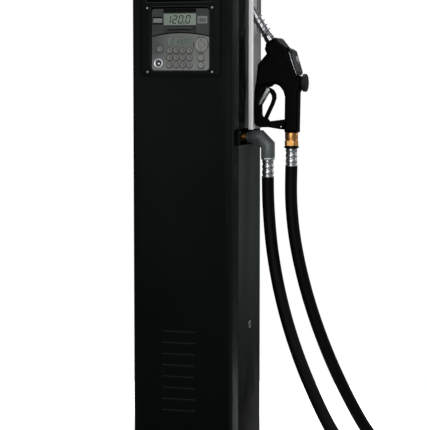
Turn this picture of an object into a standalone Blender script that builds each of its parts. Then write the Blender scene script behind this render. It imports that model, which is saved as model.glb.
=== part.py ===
"""Fleet fuel dispenser: a slim sheet-steel column with a keypad console in its
hinged front door, a pump set inside, a nozzle boot on the right side and a
fuel hose that hangs from an outlet elbow, lies in a coil beside the base and
comes up again to an automatic nozzle.

Frame: +Z up, the door faces -Y, the nozzle is on the +X side. The origin is
the centre of the base plate's underside. Units are metres.
"""

import math

import bmesh
import bpy
from mathutils import Vector

MM = 0.001
GAP = 0.0003  # clearance kept between touching pieces

# ---------------------------------------------------------------- dimensions
HALF_W = 0.150  # half width of the column
HALF_D = 0.150  # half depth of the column
HEIGHT = 1.600  # overall height
SHEET = 0.0015  # door and boot sheet
WALL = 0.002  # cabinet wall

PLATE_T = 0.005  # base plate
PLINTH_TOP = 0.030
CAB_FRONT = -0.078  # front edge of the cabinet walls
CAB_TOP = 1.582
DOOR_BACK = -0.081  # rear edge of the door's folded sides
DOOR_LOW, DOOR_TOP = 0.032, 1.580
DOOR_CORNER = 0.013  # bend radius of the door's upright corners
HINGE_XY = (-0.1455, -0.0855)

WINDOW_LOW, WINDOW_TOP = 0.9873, 1.0347  # pipe window in the right side
COVER_LOW = 0.033
LOCK_YZ = (0.0336, 0.453)

NOZZLE_Y = 0.052  # the plane of nozzle, elbow and hoses
BOOT_Y = 0.022  # front edge of the boot
BOOT_LOW, BOOT_TOP = 1.0305, 1.545
BOOT_PROUD = 0.1644

CONSOLE = (-0.1233, 0.1186, 1.1855, 1.5450)  # x, x, z, z
PANEL = (-0.0903, 0.0856, 1.2023, 1.3827)
HEADER = (-0.1017, 0.0901, 1.3975, 1.5150)
CONSOLE_FRONT, CONSOLE_BACK = -0.1553, -0.1503
FASCIA_FRONT, FASCIA_BACK = -0.1545, -0.1515

KEY_COLUMNS = (-0.0338, -0.0141, 0.0058, 0.0252)
KEY_ROWS = (1.2590, 1.2393, 1.2184)
KEY_R = 0.0088
SIDE_KEYS = {
    "key_left": (-0.0626, 1.2628),
    "key_enter": (0.0600, 1.2382),
    "key_clear": (0.0600, 1.2178),
}
SIDE_KEY_R = 0.0092
NAV = (0.0600, 1.2749, 0.0208)
READER = (-0.0679, 1.2226, 0.0150)

HOSE_R = 0.018
DROP_X, DROP_TOP = 0.2010, 0.8910  # hose end below the elbow ferrule
RISE_X, RISE_TOP = 0.2725, 0.9250  # hose end below the nozzle ferrule
ELBOW_Z = 1.0078
COIL_XY, COIL_R = (0.570, 0.062), 0.205  # centre and middle radius of the coil

LEVER_PIVOT = (0.1910, 1.0560)
LATCH_PIVOT = (0.2030, 1.1470)
SPOUT_BASE = (0.2085, 1.2885)
SPOUT_TILT = math.radians(32.2)
SPOUT_LENGTH = 0.196


# ------------------------------------------------------------------- helpers
for old in list(bpy.data.objects):
    bpy.data.objects.remove(old, do_unlink=True)


def material(name, colour, roughness, metallic):
    mat = bpy.data.materials.new(name)
    mat.use_nodes = True
    shader = mat.node_tree.nodes["Principled BSDF"]
    shader.inputs["Base Color"].default_value = (*colour, 1.0)
    shader.inputs["Roughness"].default_value = roughness
    shader.inputs["Metallic"].default_value = metallic
    mat.diffuse_color = (*colour, 1.0)
    return mat


BLACK_PAINT = material("black_paint", (0.010, 0.012, 0.011), 0.42, 0.0)
GLOSS_BLACK = material("gloss_black", (0.008, 0.010, 0.009), 0.16, 0.0)
GREY_PAINT = material("grey_paint", (0.022, 0.027, 0.025), 0.38, 0.0)
STAINLESS = material("stainless", (0.62, 0.64, 0.64), 0.30, 1.0)
ZINC = material("zinc_plate", (0.55, 0.56, 0.56), 0.42, 1.0)
CHROME = material("chrome", (0.72, 0.73, 0.74), 0.15, 1.0)
BRASS = material("brass", (0.72, 0.44, 0.16), 0.28, 1.0)
CAST = material("cast_grey", (0.052, 0.061, 0.064), 0.55, 0.2)
BLACK_PLASTIC = material("black_plastic", (0.006, 0.006, 0.007), 0.45, 0.0)
DARK_PLASTIC = material("dark_grey_plastic", (0.060, 0.064, 0.066), 0.48, 0.0)
FASCIA_GREY = material("fascia_grey", (0.250, 0.246, 0.236), 0.5, 0.0)
LCD_GREEN = material("lcd_green", (0.220, 0.255, 0.220), 0.25, 0.0)
RUBBER = material("hose_rubber", (0.008, 0.008, 0.009), 0.55, 0.0)
BOARD = material("board_green", (0.020, 0.110, 0.045), 0.5, 0.0)
IRON = material("iron_paint", (0.030, 0.060, 0.120), 0.5, 0.1)
FILTER_WHITE = material("filter_white", (0.700, 0.700, 0.680), 0.35, 0.0)


def tidy(bm):
    bmesh.ops.recalc_face_normals(bm, faces=bm.faces[:])


def to_mesh(name, shapes):
    """One mesh from a list of (vertices, faces)."""
    bm = bmesh.new()
    for verts, faces in shapes:
        made = [bm.verts.new(v) for v in verts]
        for face in faces:
            bm.faces.new([made[i] for i in face])
    tidy(bm)
    mesh = bpy.data.meshes.new(name)
    bm.to_mesh(mesh)
    bm.free()
    return mesh


def place(obj, origin, parent):
    obj.location = origin
    if parent is not None:
        obj.parent = parent
        obj.location = Vector(origin) - parent.location
    bpy.context.scene.collection.objects.link(obj)


def node(name, shapes, mat, origin=(0, 0, 0), parent=None, smooth=None):
    """A named piece. The shapes are given in world coordinates; the object's
    own origin goes to `origin`, which is on the joint axis of a moving piece."""
    shift = Vector(origin)
    moved = [([tuple(Vector(v) - shift) for v in verts], faces) for verts, faces in shapes]
    mesh = to_mesh(name, moved)
    mesh.materials.append(mat)
    if smooth:
        mesh.shade_smooth()
        mesh.set_sharp_from_angle(angle=math.radians(smooth))
    obj = bpy.data.objects.new(name, mesh)
    place(obj, origin, parent)
    return obj


def helper(name, shapes):
    """A cutter or an added shape: it is left out of the model itself."""
    obj = bpy.data.objects.new(name, to_mesh(name, shapes))
    obj.hide_render = True
    obj.display_type = "WIRE"
    bpy.context.scene.collection.objects.link(obj)
    return obj


def combine(obj, operation, label, shapes):
    mod = obj.modifiers.new(label, "BOOLEAN")
    mod.operation = operation
    mod.solver = "EXACT"
    mod.use_self = operation == "UNION" and len(shapes) > 1
    mod.object = helper(f"{obj.name}.{label}", shapes)


def cut(obj, label, *shapes):
    combine(obj, "DIFFERENCE", label, shapes)


def add(obj, label, *shapes):
    combine(obj, "UNION", label, shapes)


def soften(obj, width, segments=2, angle=35):
    mod = obj.modifiers.new("edges", "BEVEL")
    mod.width = width
    mod.segments = segments
    mod.limit_method = "ANGLE"
    mod.angle_limit = math.radians(angle)
    mod.use_clamp_overlap = True


def loft(rings, closed=False):
    """Skins rings of equal length; the ends are capped unless it is closed."""
    count = len(rings[0])
    verts = [p for ring in rings for p in ring]
    faces = []
    last = len(rings) if closed else len(rings) - 1
    for k in range(last):
        a, b = k * count, ((k + 1) % len(rings)) * count
        for i in range(count):
            j = (i + 1) % count
            faces.append((a + i, a + j, b + j, b + i))
    if not closed:
        faces.append(tuple(range(count)))
        faces.append(tuple(range(len(verts) - count, len(verts))))
    return verts, faces


def box(x0, x1, y0, y1, z0, z1):
    ring = [(x0, y0), (x1, y0), (x1, y1), (x0, y1)]
    return loft([[(x, y, z) for x, y in ring] for z in (z0, z1)])


def prism_z(points, z0, z1):
    return loft([[(x, y, z) for x, y in points] for z in (z0, z1)])


def prism_y(points, y0, y1):
    return loft([[(x, y, z) for x, z in points] for y in (y0, y1)])


def prism_x(points, x0, x1):
    return loft([[(x, y, z) for y, z in points] for x in (x0, x1)])


def inset(points, distance):
    """Moves each edge of an outline inwards (clockwise or not)."""
    area = sum(
        p[0] * q[1] - q[0] * p[1] for p, q in zip(points, points[1:] + points[:1])
    )
    side = 1 if area > 0 else -1
    moved = []
    for i, here in enumerate(points):
        before, after = points[i - 1], points[(i + 1) % len(points)]
        a = Vector((here[0] - before[0], here[1] - before[1])).normalized()
        b = Vector((after[0] - here[0], after[1] - here[1])).normalized()
        na, nb = Vector((-a.y, a.x)) * side, Vector((-b.y, b.x)) * side
        mid = (na + nb).normalized()
        reach = distance / max(0.35, mid.dot(na))
        moved.append((here[0] + mid.x * reach, here[1] + mid.y * reach))
    return moved


def pillow_y(points, centre, half, radius, steps=2):
    """An outline in XZ made thick along Y, its face edges rounded."""
    rings = []
    for k in range(steps + 1):
        turn = math.pi / 2 * (1 - k / steps)
        y = half - radius + radius * math.sin(turn)
        rings.append((centre - y, inset(points, radius * (1 - math.cos(turn)))))
    rings += [(2 * centre - y, ring) for y, ring in reversed(rings)]
    return loft([[(x, y, z) for x, z in ring] for y, ring in rings])


def rounded(x0, x1, z0, z1, r, steps=3):
    corners = (
        (x1 - r, z1 - r, 0),
        (x0 + r, z1 - r, 90),
        (x0 + r, z0 + r, 180),
        (x1 - r, z0 + r, 270),
    )
    points = []
    for cx, cz, start in corners:
        for k in range(steps + 1):
            a = math.radians(start + 90 * k / steps)
            points.append((cx + r * math.cos(a), cz + r * math.sin(a)))
    return points


def circle(cx, cz, r, count):
    return [
        (
            cx + r * math.cos(2 * math.pi * k / count),
            cz + r * math.sin(2 * math.pi * k / count),
        )
        for k in range(count)
    ]


def across(axis):
    axis = Vector(axis).normalized()
    side = Vector((0, 1, 0)) if abs(axis.y) < 0.9 else Vector((1, 0, 0))
    u = (side - axis * side.dot(axis)).normalized()
    return axis, u, axis.cross(u)


def lathe(profile, start, axis, count, closed=False):
    """Turns (radius, distance along the axis) round an axis from `start`."""
    axis, u, w = across(axis)
    start = Vector(start)
    rings = []
    for r, h in profile:
        rings.append(
            [
                tuple(
                    start
                    + axis * h
                    + (u * math.cos(2 * math.pi * k / count) + w * math.sin(2 * math.pi * k / count))
                    * r
                )
                for k in range(count)
            ]
        )
    return loft(rings, closed)


def rod(a, b, r, count=12):
    a, b = Vector(a), Vector(b)
    return lathe([(r, 0), (r, (b - a).length)], a, b - a, count)


def sweep(path, radii, count):
    """A tube along a path: each ring lies in the plane that halves its bend."""
    path = [Vector(p) for p in path]
    rings = []
    frame = None
    for i, point in enumerate(path):
        before = (path[i] - path[i - 1]).normalized() if i else None
        after = (path[i + 1] - path[i]).normalized() if i + 1 < len(path) else None
        flow = before or after
        ahead = after or before
        plane = (flow + ahead).normalized()
        if frame is None:
            _, u, w = across(flow)
        else:
            u = (frame - flow * frame.dot(flow)).normalized()
            w = flow.cross(u)
        frame = u
        r = radii[i] if isinstance(radii, (list, tuple)) else radii
        ring = []
        for k in range(count):
            a = 2 * math.pi * k / count
            offset = (u * math.cos(a) + w * math.sin(a)) * r
            # slide the point along the incoming direction onto the mitre plane
            along = -offset.dot(plane) / flow.dot(plane)
            ring.append(tuple(point + offset + flow * along))
        rings.append(ring)
    return loft(rings)


def bend(corners, radius, steps=4):
    """Rounds the inner corners of a polyline."""
    corners = [Vector(c) for c in corners]
    path = [corners[0]]
    for before, here, after in zip(corners, corners[1:], corners[2:]):
        a, b = (before - here).normalized(), (after - here).normalized()
        half = a.angle(b) / 2
        back = radius / math.tan(half)
        start, end = here + a * back, here + b * back
        centre = here + (a + b).normalized() * (radius / math.sin(half))
        for k in range(steps + 1):
            ray = (start - centre).lerp(end - centre, k / steps)
            path.append(centre + ray.normalized() * radius)
    path.append(corners[-1])
    return path


def smooth_route(points, step):
    """Evenly spaced points of a Catmull-Rom curve through the route."""
    route = [Vector(p) for p in points]
    route = [2 * route[0] - route[1]] + route + [2 * route[-1] - route[-2]]
    fine = []
    for p0, p1, p2, p3 in zip(route, route[1:], route[2:], route[3:]):
        for k in range(24):
            t = k / 24
            fine.append(
                0.5
                * (
                    2 * p1
                    + (p2 - p0) * t
                    + (2 * p0 - 5 * p1 + 4 * p2 - p3) * t * t
                    + (3 * p1 - p0 - 3 * p2 + p3) * t * t * t
                )
            )
    fine.append(route[-2])
    lengths = [0.0]
    for a, b in zip(fine, fine[1:]):
        lengths.append(lengths[-1] + (b - a).length)
    count = max(2, round(lengths[-1] / step))
    picked, i = [], 0
    for k in range(count + 1):
        want = lengths[-1] * k / count
        while i < len(fine) - 2 and lengths[i + 1] < want:
            i += 1
        span = max(1e-9, lengths[i + 1] - lengths[i])
        picked.append(fine[i].lerp(fine[i + 1], (want - lengths[i]) / span))
    return picked


def tube_curve(name, points, radius, mat):
    """A hose run as a poly curve with a round bevel and filled ends."""
    data = bpy.data.curves.new(name, "CURVE")
    data.dimensions = "3D"
    data.bevel_depth = radius
    data.bevel_resolution = 3
    data.use_fill_caps = True
    spline = data.splines.new("POLY")
    spline.points.add(len(points) - 1)
    for slot, p in zip(spline.points, points):
        slot.co = (*p, 1.0)
    data.materials.append(mat)
    obj = bpy.data.objects.new(name, data)
    place(obj, (0, 0, 0), None)
    return obj


def empty(name, where, parent=None):
    obj = bpy.data.objects.new(name, None)
    obj.empty_display_size = 0.02
    place(obj, where, parent)
    return obj


# -------------------------------------------------- base, cabinet and its cap
def build_cabinet():
    plate = node(
        "base_plate",
        [prism_z(rounded(-HALF_W, HALF_W, -HALF_D, HALF_D, 0.006, 2), 0.0, PLATE_T)],
        ZINC,
    )
    holes = [
        prism_z(circle(x, y, 0.0065, 12), -0.01, 0.02)
        for x in (-0.120, 0.120)
        for y in (-0.120, 0.120)
    ]
    cut(plate, "anchor_holes", *holes, prism_z(circle(-0.0875, 0.045, 0.0185, 20), -0.01, 0.02))

    # Folded plinth with a turned-in top edge; the motor stand is welded in it.
    frame = node(
        "base_frame",
        [box(-HALF_W, HALF_W, -HALF_D, HALF_D, PLATE_T + GAP, PLINTH_TOP)],
        BLACK_PAINT,
    )
    i = HALF_W - WALL
    cut(frame, "inside", box(-i, i, -i, i, -0.01, PLINTH_TOP - 0.002))
    t = HALF_W - 0.018
    cut(frame, "top_opening", box(-t, t, -t, t, -0.01, 0.05))
    add(
        frame,
        "motor_stand",
        box(-0.030, 0.098, 0.020, 0.070, 0.2285, 0.2325),
        box(-0.030, -0.026, 0.020, 0.070, 0.0100, 0.2305),
        box(0.094, 0.098, 0.020, 0.070, 0.0100, 0.2305),
        box(-0.036, -0.020, -0.149, 0.149, 0.0100, 0.0140),
        box(0.088, 0.104, -0.149, 0.149, 0.0100, 0.0140),
    )
    add(
        frame,
        "hinge_pin",
        lathe([(0.0045, 0.0), (0.0045, 0.0033), (0.0020, 0.0033), (0.0020, 0.016)],
              (*HINGE_XY, 0.0283), (0, 0, 1), 12),
    )

    low = PLINTH_TOP + GAP
    cabinet = node(
        "cabinet_body",
        [box(-HALF_W, HALF_W, CAB_FRONT, HALF_D, low, CAB_TOP)],
        GLOSS_BLACK,
    )
    inner = HALF_W - WALL
    # The right wall is thicker: its cover and upper panel lie in a shallow recess.
    cut(cabinet, "inside", box(-inner, 0.144, CAB_FRONT + WALL, inner, -0.1, 2.0))
    cut(cabinet, "door_opening", box(-0.134, 0.130, -0.2, 0.0, low + 0.012, CAB_TOP - 0.012))
    cut(cabinet, "cover_recess", box(0.1477, 0.2, -0.2, 0.1497, 0.0310, 2.0))
    cut(
        cabinet,
        "access",
        box(0.12, 0.2, -0.058, 0.128, 0.060, 0.4730),
        box(0.12, 0.2, -0.058, 0.128, 0.4935, 1.5600),
    )

    brim = rounded(-HALF_W, HALF_W, -HALF_D, HALF_D, DOOR_CORNER, 3)
    cap = node(
        "top_cap",
        [
            loft(
                [
                    [(x, y, z) for x, y in inset(brim, back)]
                    for z, back in ((CAB_TOP + GAP, 0.0), (HEIGHT - 0.004, 0.0), (HEIGHT - 0.001, 0.0013), (HEIGHT, 0.0045))
                ]
            )
        ],
        BLACK_PAINT,
    )
    cut(cap, "inside", prism_z(rounded(-0.1485, 0.1485, -0.1485, 0.1485, 0.0115, 3), 1.0, HEIGHT - 0.0030))

    cover = node(
        "side_cover",
        [box(0.1480, HALF_W, CAB_FRONT + 0.0005, 0.1494, COVER_LOW, WINDOW_LOW)],
        GREY_PAINT,
    )
    cut(cover, "lock_hole", prism_x(circle(*LOCK_YZ, 0.0100, 20), 0.1, 0.2))

    panel = node(
        "side_panel",
        [box(0.1480, HALF_W, CAB_FRONT + 0.0005, 0.1494, WINDOW_TOP, CAB_TOP - GAP)],
        GLOSS_BLACK,
    )
    cut(panel, "spout_opening", prism_x(spout_hole(0.0015), 0.14, 0.16))

    node(
        "hinge_pin_upper",
        [
            loft(
                [
                    [(x, y, z) for x, y in circle(*HINGE_XY, 0.0020, 12)]
                    for z in (1.5700, CAB_TOP + 0.0010)
                ]
            )
        ],
        ZINC,
    )
    add(
        bpy.data.objects["hinge_pin_upper"],
        "tab",
        box(-0.1478, -0.1180, -0.0945, -0.0640, CAB_TOP + GAP, CAB_TOP + 0.0023),
    )

    lock = node(
        "cam_lock",
        [
            lathe(
                [(0.0115, 0.0), (0.0115, -0.0012), (0.0095, -0.0024), (0.0095, -0.0260)],
                (0.1528, *LOCK_YZ),
                (1, 0, 0),
                20,
            )
        ],
        CHROME,
        origin=(HALF_W, *LOCK_YZ),
        smooth=30,
    )
    y, z = LOCK_YZ
    add(
        lock,
        "cam",
        prism_x(
            [(y - 0.006, z - 0.006), (y + 0.006, z - 0.006), (y + 0.0055, z + 0.034), (y - 0.0055, z + 0.034)],
            0.1390,
            0.1420,
        ),
    )
    cut(lock, "key_slot", box(0.1510, 0.16, y - 0.0006, y + 0.0006, z - 0.004, z + 0.004))


# ------------------------------------------------------- boot and its pocket
def spout_hole(grow=0.0):
    """Outline (y, z) of the opening that takes the spout."""
    g = grow
    return [
        (0.0310 - g, 1.2920 - g),
        (0.0600, 1.2985 - g),
        (0.1180 + g, 1.3185 - g),
        (0.1180 + g, 1.5000 + g),
        (0.0310 - g, 1.5000 + g),
    ]


def build_boot():
    boot = node(
        "nozzle_boot",
        [box(HALF_W + GAP, BOOT_PROUD, BOOT_Y, HALF_D, BOOT_LOW, BOOT_TOP)],
        STAINLESS,
    )
    face = HALF_W + GAP + SHEET
    cut(boot, "tray", box(face, 0.3, BOOT_Y + SHEET, 0.3, 0.9, BOOT_TOP - SHEET))
    cut(boot, "spout_opening", prism_x(spout_hole(), 0.14, 0.20))
    add(
        boot,
        "rest_lip",
        prism_y(
            [
                (0.1510, 1.0306),
                (0.1655, 1.0325),
                (0.1683, 1.0388),
                (0.1668, 1.0395),
                (0.1645, 1.0342),
                (0.1510, 1.0322),
            ],
            0.0300,
            0.0740,
        ),
    )

    socket = node(
        "spout_socket",
        [box(0.0850, 0.1477, 0.0240, 0.1250, 1.2840, 1.5080)],
        STAINLESS,
    )
    cut(socket, "inside", box(0.0865, 0.2, 0.0255, 0.1235, 1.2855, 1.5065))


# ----------------------------------------------------------- internal pieces
def build_internals():
    shaft_y, shaft_z = 0.045, 0.300
    motor = node(
        "motor_housing",
        [
            lathe(
                [
                    (0.060, 0.000),
                    (0.060, 0.155),
                    (0.054, 0.168),
                    (0.020, 0.168),
                    (0.020, 0.160),
                    (0.052, 0.150),
                    (0.052, 0.000),
                ],
                (-0.0440, shaft_y, shaft_z),
                (1, 0, 0),
                20,
                closed=True,
            )
        ],
        IRON,
        smooth=30,
    )
    add(motor, "foot", box(-0.020, 0.092, 0.022, 0.068, 0.2330, 0.2450),
        box(-0.010, 0.030, 0.100, 0.118, 0.270, 0.330))
    pump = node(
        "pump_body",
        [
            lathe(
                [
                    (0.066, 0.000),
                    (0.066, 0.014),
                    (0.052, 0.018),
                    (0.052, 0.085),
                    (0.0105, 0.085),
                    (0.0105, 0.074),
                    (0.038, 0.070),
                    (0.038, 0.020),
                    (0.0200, 0.016),
                    (0.0200, 0.000),
                ],
                (-0.0443, shaft_y, shaft_z),
                (-1, 0, 0),
                18,
                closed=True,
            )
        ],
        CAST,
        smooth=30,
    )
    add(
        pump,
        "ports",
        lathe([(0.024, 0.0), (0.024, 0.030)], (-0.0875, shaft_y, 0.3430), (0, 0, 1), 16),
        lathe([(0.024, 0.0), (0.024, 0.030)], (-0.0875, shaft_y, 0.2270), (0, 0, 1), 16),
    )
    # Rotor of motor and vane pump on one shaft.
    node(
        "drive_shaft",
        [
            lathe(
                [
                    (0.0095, 0.000),
                    (0.0095, 0.0150),
                    (0.0320, 0.0150),
                    (0.0320, 0.0560),
                    (0.0095, 0.0560),
                    (0.0095, 0.0950),
                    (0.0440, 0.0950),
                    (0.0440, 0.1950),
                    (0.0095, 0.1950),
                    (0.0095, 0.2400),
                ],
                (-0.1240, shaft_y, shaft_z),
                (1, 0, 0),
                14,
            )
        ],
        ZINC,
        origin=(0.0, shaft_y, shaft_z),
        smooth=30,
    )
    node(
        "suction_pipe",
        [
            lathe(
                [(0.0167, 0.0), (0.0167, 0.2262), (0.0130, 0.2262), (0.0130, 0.0)],
                (-0.0875, shaft_y, 0.0005),
                (0, 0, 1),
                16,
                closed=True,
            )
        ],
        ZINC,
        smooth=40,
    )
    head = node(
        "filter_head",
        [box(-0.115, 0.060, 0.018, 0.072, 0.5950, 0.6400)],
        CAST,
    )
    soften(head, 0.008)
    add(head, "inlet_pipe", lathe([(0.0167, 0.0), (0.0167, 0.2350)], (-0.0875, shaft_y, 0.3734), (0, 0, 1), 16))
    node(
        "filter_cartridge",
        [
            lathe(
                [(0.030, 0.0), (0.044, 0.006), (0.046, 0.014), (0.046, 0.140), (0.040, 0.1500), (0.020, 0.1500)],
                (0.010, shaft_y, 0.4445),
                (0, 0, 1),
                24,
            )
        ],
        FILTER_WHITE,
        smooth=30,
    )
    meter = node(
        "meter_body",
        [
            lathe(
                [(0.052, 0.0), (0.060, 0.006), (0.060, 0.064), (0.050, 0.070), (0.030, 0.074)],
                (0.010, 0.080, 0.760),
                (0, -1, 0),
                24,
            )
        ],
        CAST,
        smooth=30,
    )
    add(
        meter,
        "ports",
        lathe([(0.022, 0.0), (0.022, 0.207)], (0.010, shaft_y, 0.6405), (0, 0, 1), 16),
    )
    route = bend(
        [
            (0.010, shaft_y, 0.8480),
            (0.010, shaft_y, 0.8720),
            (0.010, NOZZLE_Y, 0.9200),
            (0.010, NOZZLE_Y, ELBOW_Z),
            (0.1160, NOZZLE_Y, ELBOW_Z),
        ],
        0.034,
        4,
    )
    node("outlet_pipe", [sweep(route, 0.0145, 16)], ZINC, smooth=40)
    box_ = node("electrics_box", [box(-0.130, 0.050, 0.068, 0.1465, 1.300, 1.520)], DARK_PLASTIC)
    soften(box_, 0.004)


# -------------------------------------------------------------- outlet elbow
def ferrule(name, x, top, mat=CHROME, origin=None, parent=None):
    """A crimped hose end, 50 mm long, with three proud bands."""
    bands = [(0.0166, 0.0000), (0.0166, 0.0100), (0.0156, 0.0120), (0.0156, 0.0150),
             (0.0168, 0.0170), (0.0168, 0.0240), (0.0156, 0.0260), (0.0156, 0.0300),
             (0.0168, 0.0320), (0.0168, 0.0420), (0.0158, 0.0440), (0.0158, 0.0500)]
    return node(
        name,
        [lathe([(r, -h) for r, h in bands], (x, NOZZLE_Y, top), (0, 0, 1), 14)],
        mat,
        origin=origin or (0, 0, 0),
        parent=parent,
        smooth=40,
    )


def build_outlet():
    y, z = NOZZLE_Y, ELBOW_Z
    node(
        "outlet_nipple",
        [
            lathe(
                [(0.0115, 0.0), (0.0135, 0.001), (0.0135, 0.010), (0.0115, 0.011), (0.0115, 0.0212)],
                (0.1165, y, z),
                (1, 0, 0),
                6,
            )
        ],
        BRASS,
    )
    path = [
        (0.1382, y, z),
        (0.1500, y, z),
        (0.1600, y, z),
        (0.1772, y, z),
        (DROP_X, y, 0.9840),
        (DROP_X, y, 0.9475),
        (DROP_X, y, 0.9470),
        (DROP_X, y, 0.9418),
    ]
    radii = [0.0165, 0.0175, 0.0203, 0.0205, 0.0205, 0.0205, 0.0190, 0.0190]
    node("outlet_elbow", [sweep(path, radii, 20)], CAST, smooth=30)
    ferrule("outlet_ferrule", DROP_X, 0.9413)


# ---------------------------------------------------------------- fuel hose
def build_hose():
    y = NOZZLE_Y
    drop = [
        (DROP_X, y, DROP_TOP - 0.0002),
        (0.2015, 0.0518, 0.8400),
        (0.2037, 0.0513, 0.7967),
        (0.2131, 0.0462, 0.7032),
        (0.2304, 0.0350, 0.6111),
        (0.2559, 0.0168, 0.5210),
        (0.2896, -0.0092, 0.4336),
        (0.3314, -0.0436, 0.3497),
        (0.3810, -0.0868, 0.2698),
        (0.4379, -0.1393, 0.1949),
        (0.4900, -0.1727, 0.1380),
        (0.5475, -0.1833, 0.0890),
        (0.6020, -0.1750, 0.0560),
    ]
    tube_curve("hose_drop", smooth_route(drop, 0.040), HOSE_R, RUBBER)
    rise = [
        (0.5270, 0.2380, 0.0575),
        (0.5020, 0.2299, 0.0744),
        (0.4685, 0.2098, 0.1199),
        (0.4206, 0.1685, 0.2251),
        (0.3802, 0.1337, 0.3285),
        (0.3463, 0.1052, 0.4302),
        (0.3181, 0.0830, 0.5307),
        (0.2956, 0.0669, 0.6301),
        (0.2794, 0.0568, 0.7287),
        (0.2715, 0.0523, 0.8269),
        (0.2716, y, 0.8800),
        (RISE_X, y, RISE_TOP - 0.0005),
    ]
    tube_curve("hose_rise", smooth_route(rise, 0.040), HOSE_R, RUBBER)
    section = [
        (-0.0385, 0.0060),
        (-0.0330, 0.0005),
        (0.0330, 0.0005),
        (0.0385, 0.0060),
        (0.0385, 0.0300),
        (0.0330, 0.0365),
        (-0.0330, 0.0365),
        (-0.0385, 0.0300),
    ]
    node(
        "hose_coil",
        [
            lathe(
                [(COIL_R + r, h) for r, h in section],
                (*COIL_XY, 0.0),
                (0, 0, 1),
                26,
                closed=True,
            )
        ],
        RUBBER,
        smooth=50,
    )


# ------------------------------------------------------------- door, console
def door_outline(offset, back):
    """The folded door from above: flat front, two upright rounded corners."""
    r, edge = DOOR_CORNER - offset, HALF_W - offset
    points = [(-edge, back)]
    for cx, start in ((-HALF_W + DOOR_CORNER, 180), (HALF_W - DOOR_CORNER, 270)):
        for k in range(6):
            a = math.radians(start + 18 * k)
            points.append((cx + r * math.cos(a), -HALF_D + DOOR_CORNER + r * math.sin(a)))
    points.append((edge, back))
    return points


def arch(x, drop=0.0):
    """Height of the curved border between display and keypad."""
    return 1.3003 + 0.0110 * (1 - ((x + 0.0024) / 0.0880) ** 2) - drop


def panel_outline(upper):
    """Upper or lower half of the rounded panel, split along the arch."""
    x0, x1, z0, z1 = (PANEL[0] + 0.0004, PANEL[1] - 0.0004, PANEL[2] + 0.0004, PANEL[3] - 0.0004)
    xs = [x0 + (x1 - x0) * k / 12 for k in range(13)]
    whole = rounded(x0, x1, z0, z1, 0.0115, 4)
    if upper:
        top = [p for p in whole if p[1] > 1.34]
        return top + [(x, arch(x)) for x in xs]
    bottom = [p for p in whole if p[1] < 1.25]
    return bottom + [(x, arch(x, 0.0006)) for x in reversed(xs)]


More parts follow.
